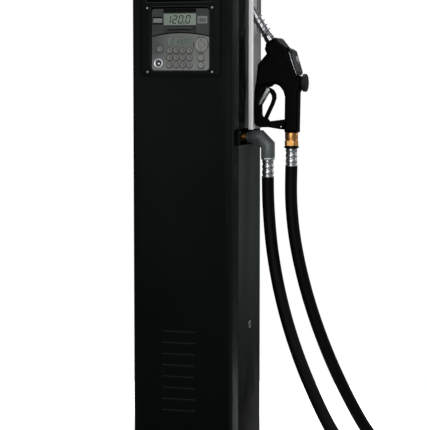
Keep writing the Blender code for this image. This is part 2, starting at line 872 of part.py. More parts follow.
def build_door():
    axis = empty("door_axis", (*HINGE_XY, 0.8))
    at = (*HINGE_XY, 0.8)
    door = node("front_door", [prism_z(door_outline(0.0, DOOR_BACK), DOOR_LOW, DOOR_TOP)], BLACK_PAINT,
                origin=at, parent=axis, smooth=25)
    cut(door, "inside", prism_z(door_outline(SHEET, -0.05), DOOR_LOW + SHEET, DOOR_TOP - SHEET))
    cut(door, "console_opening", box(-0.112, 0.107, -0.2, -0.14, 1.195, 1.530))
    cut(door, "pipe_notch", box(0.14, 0.2, -0.125, -0.05, WINDOW_LOW, WINDOW_TOP))
    cut(door, "hinge_holes", prism_z(circle(*HINGE_XY, 0.0025, 12), 0.02, 0.05),
        prism_z(circle(*HINGE_XY, 0.0025, 12), 1.56, 1.60))

    def on_door(name, shapes, mat, smooth=None, origin=at):
        return node(name, shapes, mat, origin=origin, parent=axis, smooth=smooth)

    x0, x1, z0, z1 = CONSOLE
    outline = rounded(x0, x1, z0, z1, 0.008, 3)
    frame = on_door(
        "console_frame",
        [
            loft(
                [
                    [(x, CONSOLE_BACK, z) for x, z in outline],
                    [(x, CONSOLE_BACK - 0.0015, z) for x, z in outline],
                    [(x, CONSOLE_FRONT, z) for x, z in inset(outline, 0.0065)],
                ]
            )
        ],
        BLACK_PLASTIC,
    )
    cut(
        frame,
        "openings",
        prism_y(rounded(*PANEL, 0.012, 4), -0.2, -0.1),
        prism_y(rounded(*HEADER, 0.003, 2), -0.2, -0.1),
    )
    hx0, hx1, hz0, hz1 = HEADER
    header = on_door(
        "header_panel",
        [prism_y(rounded(hx0 + 0.0004, hx1 - 0.0004, hz0 + 0.0004, hz1 - 0.0004, 0.003, 2), -0.1540, -0.1508)],
        GLOSS_BLACK,
    )
    soften(header, 0.0006, 1, 50)

    lcd = (-0.0519, 0.0452, 1.3308, 1.3695)
    display = on_door("display_fascia", [prism_y(panel_outline(True), FASCIA_FRONT, FASCIA_BACK)], DARK_PLASTIC)
    cut(display, "window", box(lcd[0] - 0.0004, lcd[1] + 0.0004, -0.2, -0.1, lcd[2] - 0.0004, lcd[3] + 0.0004))
    screen = on_door("lcd_main", [box(lcd[0], lcd[1], -0.1538, -0.1500, lcd[2], lcd[3])], LCD_GREEN)
    soften(screen, 0.0004, 1)

    keypad = on_door("keypad_fascia", [prism_y(panel_outline(False), FASCIA_FRONT, FASCIA_BACK)], FASCIA_GREY)
    holes = [
        prism_y(circle(x, z, KEY_R + 0.0006, 14), -0.2, -0.1) for z in KEY_ROWS for x in KEY_COLUMNS
    ]
    holes += [prism_y(circle(x, z, SIDE_KEY_R + 0.0006, 14), -0.2, -0.1) for x, z in SIDE_KEYS.values()]
    holes.append(prism_y(circle(NAV[0], NAV[1], NAV[2] + 0.0006, 22), -0.2, -0.1))
    holes.append(prism_y(circle(READER[0], READER[1], READER[2] + 0.0004, 20), -0.2, -0.1))
    cut(keypad, "key_holes", *holes)

    reader = on_door(
        "key_reader",
        [
            lathe(
                [
                    (0.0150, 0.0000),
                    (0.0150, 0.0045),
                    (0.0130, 0.0068),
                    (0.0085, 0.0068),
                    (0.0075, 0.0040),
                    (0.0048, 0.0040),
                    (0.0040, 0.0052),
                ],
                (READER[0], -0.1502, READER[1]),
                (0, -1, 0),
                20,
            )
        ],
        STAINLESS,
        smooth=35,
    )
    reader.data.name = "key_reader"
    board = on_door("circuit_board", [box(-0.0870, 0.0820, -0.1480, -0.1464, 1.2060, 1.3780)], BOARD)
    add(board, "parts", box(-0.060, -0.030, -0.1470, -0.1400, 1.300, 1.330),
        box(0.000, 0.050, -0.1470, -0.1420, 1.230, 1.260))
    housing = on_door("console_housing", [box(-0.1085, 0.1035, -0.1499, -0.1000, 1.1985, 1.5265)], DARK_PLASTIC)
    cut(housing, "inside", box(-0.1065, 0.1015, -0.2, -0.1020, 1.2005, 1.5245))
    return axis


def build_keys(axis):
    back = FASCIA_BACK

    def cap_profile(r):
        return [(r, 0.0), (r, 0.0036), (r - 0.0009, 0.0045)]

    def key(name, x, z, r, mesh=None, count=12, shape=None):
        origin = (x, back, z)
        if mesh is None:
            obj = node(
                name,
                [lathe(shape or cap_profile(r), origin, (0, -1, 0), count)],
                FASCIA_GREY,
                origin=origin,
                parent=axis,
                smooth=35,
            )
            return obj.data
        obj = bpy.data.objects.new(name, mesh)
        place(obj, origin, axis)
        return mesh

    shared, number = None, 1
    for z in KEY_ROWS:
        for x in KEY_COLUMNS:
            shared = key(f"key_{number:02d}", x, z, KEY_R, shared)
            number += 1
    shared = None
    for name, (x, z) in SIDE_KEYS.items():
        shared = key(name, x, z, SIDE_KEY_R, shared)
    r = NAV[2]
    key(
        "nav_pad",
        NAV[0],
        NAV[1],
        r,
        count=20,
        shape=[(r, 0.0), (r, 0.0036), (r - 0.0015, 0.0048), (0.0085, 0.0040), (0.0075, 0.0046)],
    )


# -------------------------------------------------------------------- nozzle
NOZZLE_OUTLINE = [
    (201.0, 1283.4), (193.5, 1266.0), (200.0, 1251.4), (173.0, 1221.0), (168.5, 1176.0),
    (167.0, 1158.4), (188.0, 1158.4), (211.5, 1159.5), (225.3, 1163.8), (240.0, 1157.0),
    (250.5, 1143.0), (255.5, 1127.0), (255.0, 1087.6), (254.2, 1022.2), (294.5, 1022.2),
    (296.5, 1139.0), (303.5, 1150.0), (303.5, 1184.0), (297.0, 1188.0), (291.6, 1188.4),
    (267.9, 1254.9), (266.3, 1268.0), (262.0, 1271.0), (225.3, 1298.7),
]
COVER_OUTLINE = [
    (267.1, 1268.3), (283.2, 1259.3), (302.3, 1196.0), (298.0, 1188.9), (292.3, 1189.0), (268.7, 1255.2),
]
GUARD_OUTLINE = [
    (167.5, 1157.9), (164.5, 1150.0), (160.7, 1122.0), (159.8, 1087.0), (160.7, 1050.0), (166.0, 1041.5),
    (181.0, 1035.9), (203.0, 1037.0), (237.5, 1031.5), (253.4, 1030.4), (253.4, 1060.6), (230.0, 1057.6),
    (206.0, 1054.5), (200.0, 1062.0), (185.5, 1068.0), (182.4, 1075.0), (182.4, 1146.0), (180.0, 1157.9),
]
LEVER_OUTLINE = [
    (195.5, 1152.6), (208.0, 1152.4), (218.5, 1146.0), (225.5, 1135.0), (226.0, 1122.0), (221.0, 1106.0),
    (211.0, 1085.0), (201.0, 1063.0), (196.8, 1054.5), (194.0, 1050.8), (188.0, 1050.8), (185.2, 1056.0),
    (187.0, 1061.0), (190.5, 1067.0), (200.0, 1087.0), (210.0, 1108.0), (214.0, 1120.0), (213.0, 1130.0),
    (207.5, 1138.0), (200.0, 1141.0), (194.5, 1143.0),
]
LATCH_OUTLINE = [
    (207.6, 1150.5), (203.0, 1152.6), (198.3, 1150.5), (195.0, 1143.0), (176.6, 1108.0), (177.5, 1103.5),
    (182.0, 1104.0), (201.0, 1136.0), (208.5, 1143.5),
]


def metres(outline):
    return [(x * MM, z * MM) for x, z in outline]


def build_nozzle():
    at = (0.2725, NOZZLE_Y, 1.10)
    axis = empty("nozzle_axis", at)

    def on_nozzle(name, shapes, mat, smooth=None, origin=at, parent=axis):
        return node(name, shapes, mat, origin=origin, parent=parent, smooth=smooth)

    y = NOZZLE_Y
    on_nozzle("nozzle_body", [pillow_y(metres(NOZZLE_OUTLINE), y, 0.0205, 0.0050)], BLACK_PLASTIC, 40)
    on_nozzle("nozzle_cover", [pillow_y(metres(COVER_OUTLINE), y, 0.0195, 0.0025)], DARK_PLASTIC, 40)

    guard = on_nozzle("lever_guard", [pillow_y(metres(GUARD_OUTLINE), y, 0.0115, 0.0030)], BLACK_PLASTIC, 40)
    cut(guard, "lever_slot", box(0.1830, 0.2062, y - 0.0076, y + 0.0076, 1.0475, 1.0800))
    px, pz = LEVER_PIVOT
    add(guard, "pivot_pin", rod((px, y - 0.0090, pz), (px, y + 0.0090, pz), 0.0024))

    lever_axis = empty("lever_axis", (px, y, pz), axis)
    lever_axis.location = Vector((px, y, pz)) - axis.location
    lever = node("trigger_lever", [pillow_y(metres(LEVER_OUTLINE), y, 0.0068, 0.0022)], BLACK_PLASTIC,
                 origin=(px, y, pz), smooth=40)
    lever.parent, lever.location = lever_axis, (0, 0, 0)
    lx, lz = LATCH_PIVOT
    cut(lever, "pivot_holes", prism_y(circle(px, pz, 0.0028, 12), 0.0, 0.1),
        prism_y(circle(lx, lz, 0.0022, 12), 0.0, 0.1))

    latch = node("hold_open_latch", [prism_y(metres(LATCH_OUTLINE), y - 0.0137, y - 0.0122)], ZINC,
                 origin=(lx, y, lz))
    latch.parent = lever_axis
    latch.location = Vector((lx - px, 0, lz - pz))
    add(latch, "far_cheek", prism_y(metres(LATCH_OUTLINE), y + 0.0122, y + 0.0137))
    add(latch, "pin", rod((lx, y - 0.0130, lz), (lx, y + 0.0130, lz), 0.0018),
        prism_y([(0.1885, 1.1275), (0.1915, 1.1215), (0.1940, 1.1230), (0.1912, 1.1290)], y - 0.0130, y + 0.0130))

    sx, sz = SPOUT_BASE
    along = (-math.sin(SPOUT_TILT), 0.0, math.cos(SPOUT_TILT))
    end = SPOUT_LENGTH
    on_nozzle(
        "nozzle_spout",
        [
            lathe(
                [
                    (0.0140, 0.0006),
                    (0.0140, 0.0160),
                    (0.0124, 0.0200),
                    (0.0116, end - 0.0060),
                    (0.0108, end),
                    (0.0098, end),
                    (0.0098, 0.0300),
                ],
                (sx, y, sz),
                along,
                20,
            )
        ],
        CHROME,
        35,
    )
    _, u, w = across(along)
    start = Vector((sx, y, sz))
    coil = []
    turns, per = 5, 10
    for k in range(turns * per + 1):
        t = k / (turns * per)
        a = 2 * math.pi * turns * t
        r = 0.0163 - 0.0022 * t
        coil.append(start + Vector(along) * (0.0220 + 0.078 * t) + (u * math.cos(a) + w * math.sin(a)) * r)
    on_nozzle("spout_spring", [sweep(coil, 0.0017, 5)], CHROME, 60)
    on_nozzle(
        "nozzle_cap",
        [
            lathe(
                [(0.0180, 0.0000), (0.0180, 0.0020), (0.0260, 0.0040), (0.0260, 0.0125), (0.0240, 0.0155), (0.0100, 0.0160)],
                (0.3039, y, 1.1670),
                (1, 0, 0),
                24,
            )
        ],
        BLACK_PLASTIC,
        35,
    )

    swivel_at = (RISE_X, y, 0.98)
    swivel_axis = empty("swivel_axis", swivel_at)
    swivel_axis.parent = axis
    swivel_axis.location = Vector(swivel_at) - axis.location
    swivel = node(
        "hose_swivel",
        [
            lathe(
                [
                    (0.0150, 0.0464),
                    (0.0192, 0.0460),
                    (0.0192, 0.0260),
                    (0.0182, 0.0250),
                    (0.0182, 0.0220),
                    (0.0192, 0.0210),
                    (0.0192, 0.0080),
                    (0.0214, 0.0065),
                    (0.0214, 0.0020),
                    (0.0170, 0.0000),
                ],
                (RISE_X, y, 0.9753),
                (0, 0, 1),
                20,
            )
        ],
        BRASS,
        origin=swivel_at,
        smooth=35,
    )
    swivel.parent, swivel.location = swivel_axis, (0, 0, 0)
    end_piece = ferrule("nozzle_ferrule", RISE_X, 0.9750, origin=swivel_at)
    end_piece.parent, end_piece.location = swivel_axis, (0, 0, 0)


build_cabinet()
build_boot()
build_internals()
build_outlet()
build_hose()
build_keys(build_door())
build_nozzle()
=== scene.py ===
"""The looks of a fleet fuel dispenser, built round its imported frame."""

import math

import bmesh
import bpy
import numpy as np
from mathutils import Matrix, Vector


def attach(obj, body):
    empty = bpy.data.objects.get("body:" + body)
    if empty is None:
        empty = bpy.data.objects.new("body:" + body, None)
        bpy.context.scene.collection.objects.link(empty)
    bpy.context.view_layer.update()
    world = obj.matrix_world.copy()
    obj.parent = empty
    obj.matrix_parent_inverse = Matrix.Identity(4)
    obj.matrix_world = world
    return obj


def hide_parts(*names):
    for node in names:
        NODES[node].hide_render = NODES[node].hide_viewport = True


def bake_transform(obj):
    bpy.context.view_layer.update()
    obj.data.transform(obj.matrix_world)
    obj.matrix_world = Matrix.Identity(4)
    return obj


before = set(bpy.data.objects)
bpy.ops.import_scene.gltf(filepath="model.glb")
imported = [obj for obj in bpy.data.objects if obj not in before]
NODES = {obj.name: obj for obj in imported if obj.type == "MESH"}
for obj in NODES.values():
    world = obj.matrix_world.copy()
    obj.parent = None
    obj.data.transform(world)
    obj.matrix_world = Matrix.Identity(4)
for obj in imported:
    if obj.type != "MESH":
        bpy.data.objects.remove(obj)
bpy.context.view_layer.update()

SCENE = bpy.context.scene
MM = 0.001


# ============================================================ mesh helpers
def link(obj):
    SCENE.collection.objects.link(obj)
    return obj


def to_object(name, shapes, uvs=None):
    """An object from a list of (vertices, faces)."""
    bm = bmesh.new()
    for verts, faces in shapes:
        made = [bm.verts.new(v) for v in verts]
        for face in faces:
            bm.faces.new([made[i] for i in face])
    bmesh.ops.recalc_face_normals(bm, faces=bm.faces[:])
    mesh = bpy.data.meshes.new(name)
    bm.to_mesh(mesh)
    bm.free()
    return link(bpy.data.objects.new(name, mesh))


def loft(rings, closed=False, caps=True):
    count = len(rings[0])
    verts = [p for ring in rings for p in ring]
    faces = []
    last = len(rings) if closed else len(rings) - 1
    for k in range(last):
        a, b = k * count, ((k + 1) % len(rings)) * count
        for i in range(count):
            j = (i + 1) % count
            faces.append((a + i, a + j, b + j, b + i))
    if not closed and caps:
        faces.append(tuple(range(count)))
        faces.append(tuple(range(len(verts) - count, len(verts))))
    return verts, faces


def box(x0, x1, y0, y1, z0, z1):
    ring = [(x0, y0), (x1, y0), (x1, y1), (x0, y1)]
    return loft([[(x, y, z) for x, y in ring] for z in (z0, z1)])


def prism_z(points, z0, z1):
    return loft([[(x, y, z) for x, y in points] for z in (z0, z1)])


def prism_y(points, y0, y1):
    return loft([[(x, y, z) for x, z in points] for y in (y0, y1)])


def prism_x(points, x0, x1):
    return loft([[(x, y, z) for y, z in points] for x in (x0, x1)])


def inset(points, distance):
    area = sum(p[0] * q[1] - q[0] * p[1] for p, q in zip(points, points[1:] + points[:1]))
    side = 1 if area > 0 else -1
    moved = []
    for i, here in enumerate(points):
        before, after = points[i - 1], points[(i + 1) % len(points)]
        a = Vector((here[0] - before[0], here[1] - before[1])).normalized()
        b = Vector((after[0] - here[0], after[1] - here[1])).normalized()
        na, nb = Vector((-a.y, a.x)) * side, Vector((-b.y, b.x)) * side
        mid = (na + nb).normalized()
        reach = distance / max(0.35, mid.dot(na))
        moved.append((here[0] + mid.x * reach, here[1] + mid.y * reach))
    return moved


def rounded(x0, x1, z0, z1, r, steps=8):
    corners = ((x1 - r, z1 - r, 0), (x0 + r, z1 - r, 90), (x0 + r, z0 + r, 180), (x1 - r, z0 + r, 270))
    points = []
    for cx, cz, start in corners:
        for k in range(steps + 1):
            a = math.radians(start + 90 * k / steps)
            points.append((cx + r * math.cos(a), cz + r * math.sin(a)))
    return points


def circle(cx, cz, r, count, turn=0.0):
    return [(cx + r * math.cos(2 * math.pi * k / count + turn), cz + r * math.sin(2 * math.pi * k / count + turn)) for k in range(count)]


def round_off(points, radius, steps=4):
    """Rounds every corner of an outline."""
    out = []
    n = len(points)
    for i in range(n):
        p, a, b = Vector(points[i]), Vector(points[i - 1]), Vector(points[(i + 1) % n])
        u, v = a - p, b - p
        r = min(radius, u.length * 0.45, v.length * 0.45)
        s, e = p + u.normalized() * r, p + v.normalized() * r
        for k in range(steps + 1):
            t = k / steps
            q = s * (1 - t) ** 2 + p * 2 * t * (1 - t) + e * t * t
            out.append((q.x, q.y))
    return out


def across(axis):
    axis = Vector(axis).normalized()
    side = Vector((0, 1, 0)) if abs(axis.y) < 0.9 else Vector((1, 0, 0))
    u = (side - axis * side.dot(axis)).normalized()
    return axis, u, axis.cross(u)


def lathe(profile, start, axis, count, closed=False, turn=0.0, wave=None):
    """Turns (radius, distance) round an axis; wave(angle, radius, distance) may change the radius."""
    axis, u, w = across(axis)
    start = Vector(start)
    rings = []
    for r, h in profile:
        ring = []
        for k in range(count):
            a = 2 * math.pi * k / count + turn
            rr = wave(a, r, h) if wave else r
            ring.append(tuple(start + axis * h + (u * math.cos(a) + w * math.sin(a)) * rr))
        rings.append(ring)
    return loft(rings, closed)


def rod(a, b, r, count=20, chamfer=0.0):
    a, b = Vector(a), Vector(b)
    long = (b - a).length
    if chamfer:
        return lathe([(r - chamfer, 0), (r, chamfer), (r, long - chamfer), (r - chamfer, long)], a, b - a, count)
    return lathe([(r, 0), (r, long)], a, b - a, count)


def sweep(path, radii, count):
    path = [Vector(p) for p in path]
    rings, frame_u = [], None
    for i, point in enumerate(path):
        before = (path[i] - path[i - 1]).normalized() if i else None
        after = (path[i + 1] - path[i]).normalized() if i + 1 < len(path) else None
        flow, ahead = before or after, after or before
        plane = (flow + ahead).normalized()
        if frame_u is None:
            _, u, w = across(flow)
        else:
            u = (frame_u - flow * frame_u.dot(flow)).normalized()
            w = flow.cross(u)
        frame_u = u
        r = radii[i] if isinstance(radii, (list, tuple)) else radii
        ring = []
        for k in range(count):
            a = 2 * math.pi * k / count
            offset = (u * math.cos(a) + w * math.sin(a)) * r
            ring.append(tuple(point + offset + flow * (-offset.dot(plane) / flow.dot(plane))))
        rings.append(ring)
    return loft(rings)


def smooth_route(points, step):
    route = [Vector(p) for p in points]
    route = [2 * route[0] - route[1]] + route + [2 * route[-1] - route[-2]]
    fine = []
    for p0, p1, p2, p3 in zip(route, route[1:], route[2:], route[3:]):
        for k in range(24):
            t = k / 24
            fine.append(0.5 * (2 * p1 + (p2 - p0) * t + (2 * p0 - 5 * p1 + 4 * p2 - p3) * t * t + (3 * p1 - p0 - 3 * p2 + p3) * t * t * t))
    fine.append(route[-2])
    lengths = [0.0]
    for a, b in zip(fine, fine[1:]):
        lengths.append(lengths[-1] + (b - a).length)
    count = max(2, round(lengths[-1] / step))
    picked, i = [], 0
    for k in range(count + 1):
        want = lengths[-1] * k / count
        while i < len(fine) - 2 and lengths[i + 1] < want:
            i += 1
        span = max(1e-9, lengths[i + 1] - lengths[i])
        picked.append(fine[i].lerp(fine[i + 1], (want - lengths[i]) / span))
    return picked


def relax(line, rounds):
    """Evens out small changes of curvature along a route, ends kept."""
    p = np.array([tuple(v) for v in line])
    for _ in range(rounds):
        p[2:-2] = 0.5 * p[2:-2] + 0.25 * (p[1:-3] + p[3:-1])
    return [Vector(q) for q in p]


def tube(name, line, radius, count=28, swell=None):
    """A hose as a mesh tube with its length and girth in its UV map, in metres."""
    rings, along, frame_u = [], [0.0], None
    n = len(line)
    for i in range(n):
        flow = (line[min(i + 1, n - 1)] - line[max(i - 1, 0)]).normalized()
        if frame_u is None:
            _, u, w = across(flow)
        else:
            u = (frame_u - flow * frame_u.dot(flow)).normalized()
            w = flow.cross(u)
        frame_u = u
        if i:
            along.append(along[-1] + (line[i] - line[i - 1]).length)
        r = radius * (swell(i, n) if swell else 1.0)
        rings.append([line[i] + (u * math.cos(2 * math.pi * k / count) + w * math.sin(2 * math.pi * k / count)) * r for k in range(count)])
    bm = bmesh.new()
    layer = bm.loops.layers.uv.new("along")
    grid = [[bm.verts.new(p) for p in ring] for ring in rings]
    for i in range(n - 1):
        for k in range(count):
            j = (k + 1) % count
            face = bm.faces.new((grid[i][k], grid[i][j], grid[i + 1][j], grid[i + 1][k]))
            for loop, (a, b) in zip(face.loops, ((i, k), (i, k + 1), (i + 1, k + 1), (i + 1, k))):
                loop[layer].uv = (2 * math.pi * radius * b / count, along[a])
    bm.faces.new(grid[0])
    bm.faces.new(grid[-1])
    bmesh.ops.recalc_face_normals(bm, faces=bm.faces[:])
    mesh = bpy.data.meshes.new(name)
    bm.to_mesh(mesh)
    bm.free()
    return link(bpy.data.objects.new(name, mesh))


def apply(obj):
    """Applies every modifier of one of this script's own pieces."""
    dg = bpy.context.evaluated_depsgraph_get()
    mesh = bpy.data.meshes.new_from_object(obj.evaluated_get(dg), depsgraph=dg)
    obj.modifiers.clear()
    old = obj.data
    obj.data = mesh
    if old.users == 0:
        bpy.data.meshes.remove(old)
    return obj


def boolean(obj, operation, shapes):
    tool = to_object(obj.name + "_tool", shapes)
    mod = obj.modifiers.new("b", "BOOLEAN")
    mod.operation, mod.solver, mod.object = operation, "EXACT", tool
    mod.use_self = operation == "UNION" and len(shapes) > 1
    apply(obj)
    bpy.data.objects.remove(tool, do_unlink=True)
    return obj


def bevel(obj, width, segments=2, angle=30):
    mod = obj.modifiers.new("edges", "BEVEL")
    mod.width, mod.segments = width, segments
    mod.limit_method, mod.angle_limit = "ANGLE", math.radians(angle)
    mod.use_clamp_overlap = True
    return apply(obj)


def melt(obj, voxel, rounds, factor=0.5):
    """Turns a hard shape into a moulded one: voxel remesh, then smoothing."""
    mod = obj.modifiers.new("r", "REMESH")
    mod.mode, mod.voxel_size = "VOXEL", voxel
    apply(obj)
    mod = obj.modifiers.new("s", "SMOOTH")
    mod.factor, mod.iterations = factor, rounds
    return apply(obj)


def shade(obj, angle=35):
    obj.data.shade_smooth()
    obj.data.set_sharp_from_angle(angle=math.radians(angle))
    return obj


SMOOTH_GROUP = None


def smooth_group(angle):
    """A node group that shades smooth up to an angle, for the CAD's own meshes."""
    name = f"smooth_{angle}"
    if name in bpy.data.node_groups:
        return bpy.data.node_groups[name]
    g = bpy.data.node_groups.new(name, "GeometryNodeTree")
    g.interface.new_socket("Geometry", in_out="INPUT", socket_type="NodeSocketGeometry")
    g.interface.new_socket("Geometry", in_out="OUTPUT", socket_type="NodeSocketGeometry")
    n = g.nodes
    a, b = n.new("NodeGroupInput"), n.new("NodeGroupOutput")
    faces, edges = n.new("GeometryNodeSetShadeSmooth"), n.new("GeometryNodeSetShadeSmooth")
    faces.domain, edges.domain = "FACE", "EDGE"
    turn, less = n.new("GeometryNodeInputMeshEdgeAngle"), n.new("FunctionNodeCompare")
    less.operation = "LESS_EQUAL"
    less.inputs[1].default_value = math.radians(angle)
    g.links.new(turn.outputs["Unsigned Angle"], less.inputs[0])
    g.links.new(a.outputs[0], faces.inputs["Geometry"])
    g.links.new(faces.outputs[0], edges.inputs["Geometry"])
    g.links.new(less.outputs[0], edges.inputs["Shade Smooth"])
    g.links.new(edges.outputs[0], b.inputs[0])
    return g


def keep(node, mat, width=0.0, segments=2, angle=35, limit=30):
    """A CAD node stays as it is and gets its material, softened edges and smooth shading."""
    obj = NODES[node]
    if not obj.material_slots:
        obj.data.materials.append(mat)
    for s in obj.material_slots:
        s.material = mat
    weld = obj.modifiers.new("weld", "WELD")
    weld.merge_threshold = 0.00001
    if width:
        mod = obj.modifiers.new("edges", "BEVEL")
        mod.width, mod.segments = width, segments
        mod.limit_method, mod.angle_limit = "ANGLE", math.radians(limit)
        mod.use_clamp_overlap = True
    mod = obj.modifiers.new("smooth", "NODES")
    mod.node_group = smooth_group(angle)
    return obj


def piece(obj, mat, body, *replaced, slot=None):
    obj.data.materials.clear()
    obj.data.materials.append(mat)
    if body:
        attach(obj, body)
    if replaced:
        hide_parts(*replaced)
    return obj


# =============================================================== materials
class Look:
    """A procedural material round one Principled shader."""

    def __init__(self, name, colour, rough, metallic=0.0, specular=0.5, coat=0.0, coat_rough=0.1, sheen=0.0, aniso=0.0):
        self.mat = bpy.data.materials.new(name)
        self.mat.use_nodes = True
        self.tree = self.mat.node_tree
        self.n, self.l = self.tree.nodes, self.tree.links
        self.s = self.n["Principled BSDF"] if "Principled BSDF" in self.n else self.n.new("ShaderNodeBsdfPrincipled")
        i = self.s.inputs
        i["Base Color"].default_value = (*colour, 1)
        i["Roughness"].default_value = rough
        i["Metallic"].default_value = metallic
        i["Specular IOR Level"].default_value = specular
        i["Coat Weight"].default_value = coat
        i["Coat Roughness"].default_value = coat_rough
        i["Sheen Weight"].default_value = sheen
        i["Anisotropic"].default_value = aniso
        self.colour, self.rough = colour, rough
        self.coord = self.n.new("ShaderNodeTexCoord")
        self.normal = None
        self.tint = None
        self.mat.diffuse_color = (*colour, 1)

    def space(self, scale=(1, 1, 1), turn=(0, 0, 0), uv=False):
        m = self.n.new("ShaderNodeMapping")
        m.inputs["Scale"].default_value = scale
        m.inputs["Rotation"].default_value = turn
        self.l.new(self.coord.outputs["UV" if uv else "Object"], m.inputs["Vector"])
        return m.outputs["Vector"]

    def noise(self, scale, detail=2.0, rough=0.5, vector=None, distortion=0.0):
        t = self.n.new("ShaderNodeTexNoise")
        t.inputs["Scale"].default_value = scale
        t.inputs["Detail"].default_value = detail
        t.inputs["Roughness"].default_value = rough
        t.inputs["Distortion"].default_value = distortion
        self.l.new(vector or self.space(), t.inputs["Vector"])
        return t.outputs["Fac"]

    def cells(self, scale, vector=None, feature="F1"):
        t = self.n.new("ShaderNodeTexVoronoi")
        t.feature = feature
        t.inputs["Scale"].default_value = scale
        self.l.new(vector or self.space(), t.inputs["Vector"])
        return t.outputs["Distance"]

    def waves(self, scale, direction, vector, distortion=0.0):
        t = self.n.new("ShaderNodeTexWave")
        t.bands_direction = direction
        t.inputs["Scale"].default_value = scale
        t.inputs["Distortion"].default_value = distortion
        t.inputs["Detail"].default_value = 1.0
        self.l.new(vector, t.inputs["Vector"])
        return t.outputs["Fac"]

    def span(self, value, a, b, c, d):
        m = self.n.new("ShaderNodeMapRange")
        for k, x in zip(("From Min", "From Max", "To Min", "To Max"), (a, b, c, d)):
            m.inputs[k].default_value = x
        self.l.new(value, m.inputs["Value"])
        return m.outputs["Result"]

    def math(self, op, a, b):
        m = self.n.new("ShaderNodeMath")
        m.operation = op
        for k, x in enumerate((a, b)):
            if isinstance(x, (int, float)):
                m.inputs[k].default_value = x
            else:
                self.l.new(x, m.inputs[k])
        return m.outputs[0]

    def bump(self, value, strength, distance):
        b = self.n.new("ShaderNodeBump")
        b.inputs["Strength"].default_value = strength
        b.inputs["Distance"].default_value = distance
        self.l.new(value, b.inputs["Height"])
        if self.normal:
            self.l.new(self.normal, b.inputs["Normal"])
        self.normal = b.outputs["Normal"]
        self.l.new(self.normal, self.s.inputs["Normal"])
        return self

    def gloss(self, value, low, high, a=0.35, b=0.65):
        """Roughness runs from low to high over a texture's middle values."""
        self.l.new(self.span(value, a, b, low, high), self.s.inputs["Roughness"])
        return self

    def tone(self, value, other, a=0.35, b=0.65):
        """Mixes the colour so far with another by a texture."""
        m = self.n.new("ShaderNodeMix")
        m.data_type = "RGBA"
        m.clamp_factor = True
        self.l.new(self.span(value, a, b, 0.0, 1.0), m.inputs["Factor"])
        if self.tint:
            self.l.new(self.tint, m.inputs[6])
        else:
            m.inputs[6].default_value = (*self.colour, 1)
        m.inputs[7].default_value = (*other, 1)
        self.tint = m.outputs[2]
        self.l.new(self.tint, self.s.inputs["Base Color"])
        return self

    def axis(self, which):
        """One coordinate of the object's own space, in metres."""
        s = self.n.new("ShaderNodeSeparateXYZ")
        self.l.new(self.coord.outputs["Object"], s.inputs[0])
        return s.outputs[which]


def times(colour, k):
    return tuple(min(1.0, c * k) for c in colour)


def powder(name, colour, rough, specular, peel=0.12, dust=True, painted_side_lighting=0.0, painted_bottom_shade=None):
    """Powder-coated sheet: fine orange peel, faint handling marks."""
    look = Look(name, colour, rough, specular=specular)
    look.tone(look.noise(5.0, 3), times(colour, 1.35), 0.40, 0.70)
    if dust:
        look.tone(look.noise(1400.0, 2, 0.7), times(colour, 2.6), 0.70, 0.80)
    if painted_bottom_shade:
        # painted shade: the coat is made darker towards the bottom
        look.tone(look.axis(2), painted_bottom_shade, 1.15, 0.15)
    if painted_side_lighting:
        # painted light: faces turned to the side (+X) get a lighter colour than the flat front
        turned = look.n.new("ShaderNodeSeparateXYZ")
        look.l.new(look.coord.outputs["Normal"], turned.inputs[0])
        look.tone(turned.outputs[0], times(colour, painted_side_lighting), 0.25, 0.85)
    look.gloss(look.noise(9.0, 4, 0.6, distortion=0.6), rough * 0.86, rough * 1.16)
    look.bump(look.noise(620.0, 2), peel, 0.00025)
    return look.mat


def brushed(name, colour, rough, stretch, specular=0.5, marks=True, metallic=1.0, painted_side_lighting=0.0):
    """Metal with a grain along one axis."""
    look = Look(name, colour, rough, metallic=metallic, specular=specular)
    grain = look.noise(1.0, 3, 0.65, look.space(stretch))
    look.tone(grain, times(colour, 0.80), 0.30, 0.75)
    if marks:
        look.tone(look.noise(7.0, 3, 0.55), times(colour, 0.88), 0.50, 0.72)
    if painted_side_lighting:
        # painted shade: faces turned to the side (+X) get a darker colour than those turned forward
        turned = look.n.new("ShaderNodeSeparateXYZ")
        look.l.new(look.coord.outputs["Normal"], turned.inputs[0])
        look.tone(turned.outputs[0], times(colour, painted_side_lighting), 0.25, 0.85)
        # painted shadow: darker still high up on the side, where the spout's shadow falls; the front edge is also made
        # darker towards its bottom
        side = look.span(turned.outputs[0], 0.25, 0.85, 0.0, 1.0)
        high = look.span(look.axis(2), 1.26, 1.36, 0.0, 1.0)
        look.tone(look.math("MULTIPLY", side, high), times(colour, painted_side_lighting * 0.45), 0.0, 1.0)
        front = look.span(turned.outputs[0], 0.25, 0.85, 1.0, 0.0)
        low = look.span(look.axis(2), 1.20, 1.08, 0.0, 1.0)
        look.tone(look.math("MULTIPLY", front, low), times(colour, 0.76), 0.0, 1.0)
    look.gloss(grain, rough * 0.80, rough * 1.25, 0.3, 0.7)
    look.bump(grain, 0.05, 0.0002)
    return look.mat


def polished(name, colour, rough, haze=0.5, pit=0.02):
    look = Look(name, colour, rough, metallic=1.0)
    look.tone(look.noise(60.0, 4, 0.6), times(colour, 0.86), 0.45, 0.75)
    look.gloss(look.noise(90.0, 4, 0.65, distortion=0.8), rough * (1 - haze), rough * (1 + haze))
    look.bump(look.noise(700.0, 3, 0.7), pit, 0.0002)
    return look.mat


def moulded(name, colour, rough, specular=0.5, grain=900.0, depth=0.10, shine=0.12):
    """Moulded plastic with a fine leather-like grain."""
    look = Look(name, colour, rough, specular=specular)
    look.tone(look.noise(22.0, 3), times(colour, 1.5), 0.45, 0.72)
    look.gloss(look.noise(35.0, 4, 0.6), rough * (1 - shine), rough * (1 + shine))
    look.bump(look.cells(grain), depth, 0.0003)
    look.bump(look.noise(160.0, 2), 0.04, 0.0006)
    return look.mat


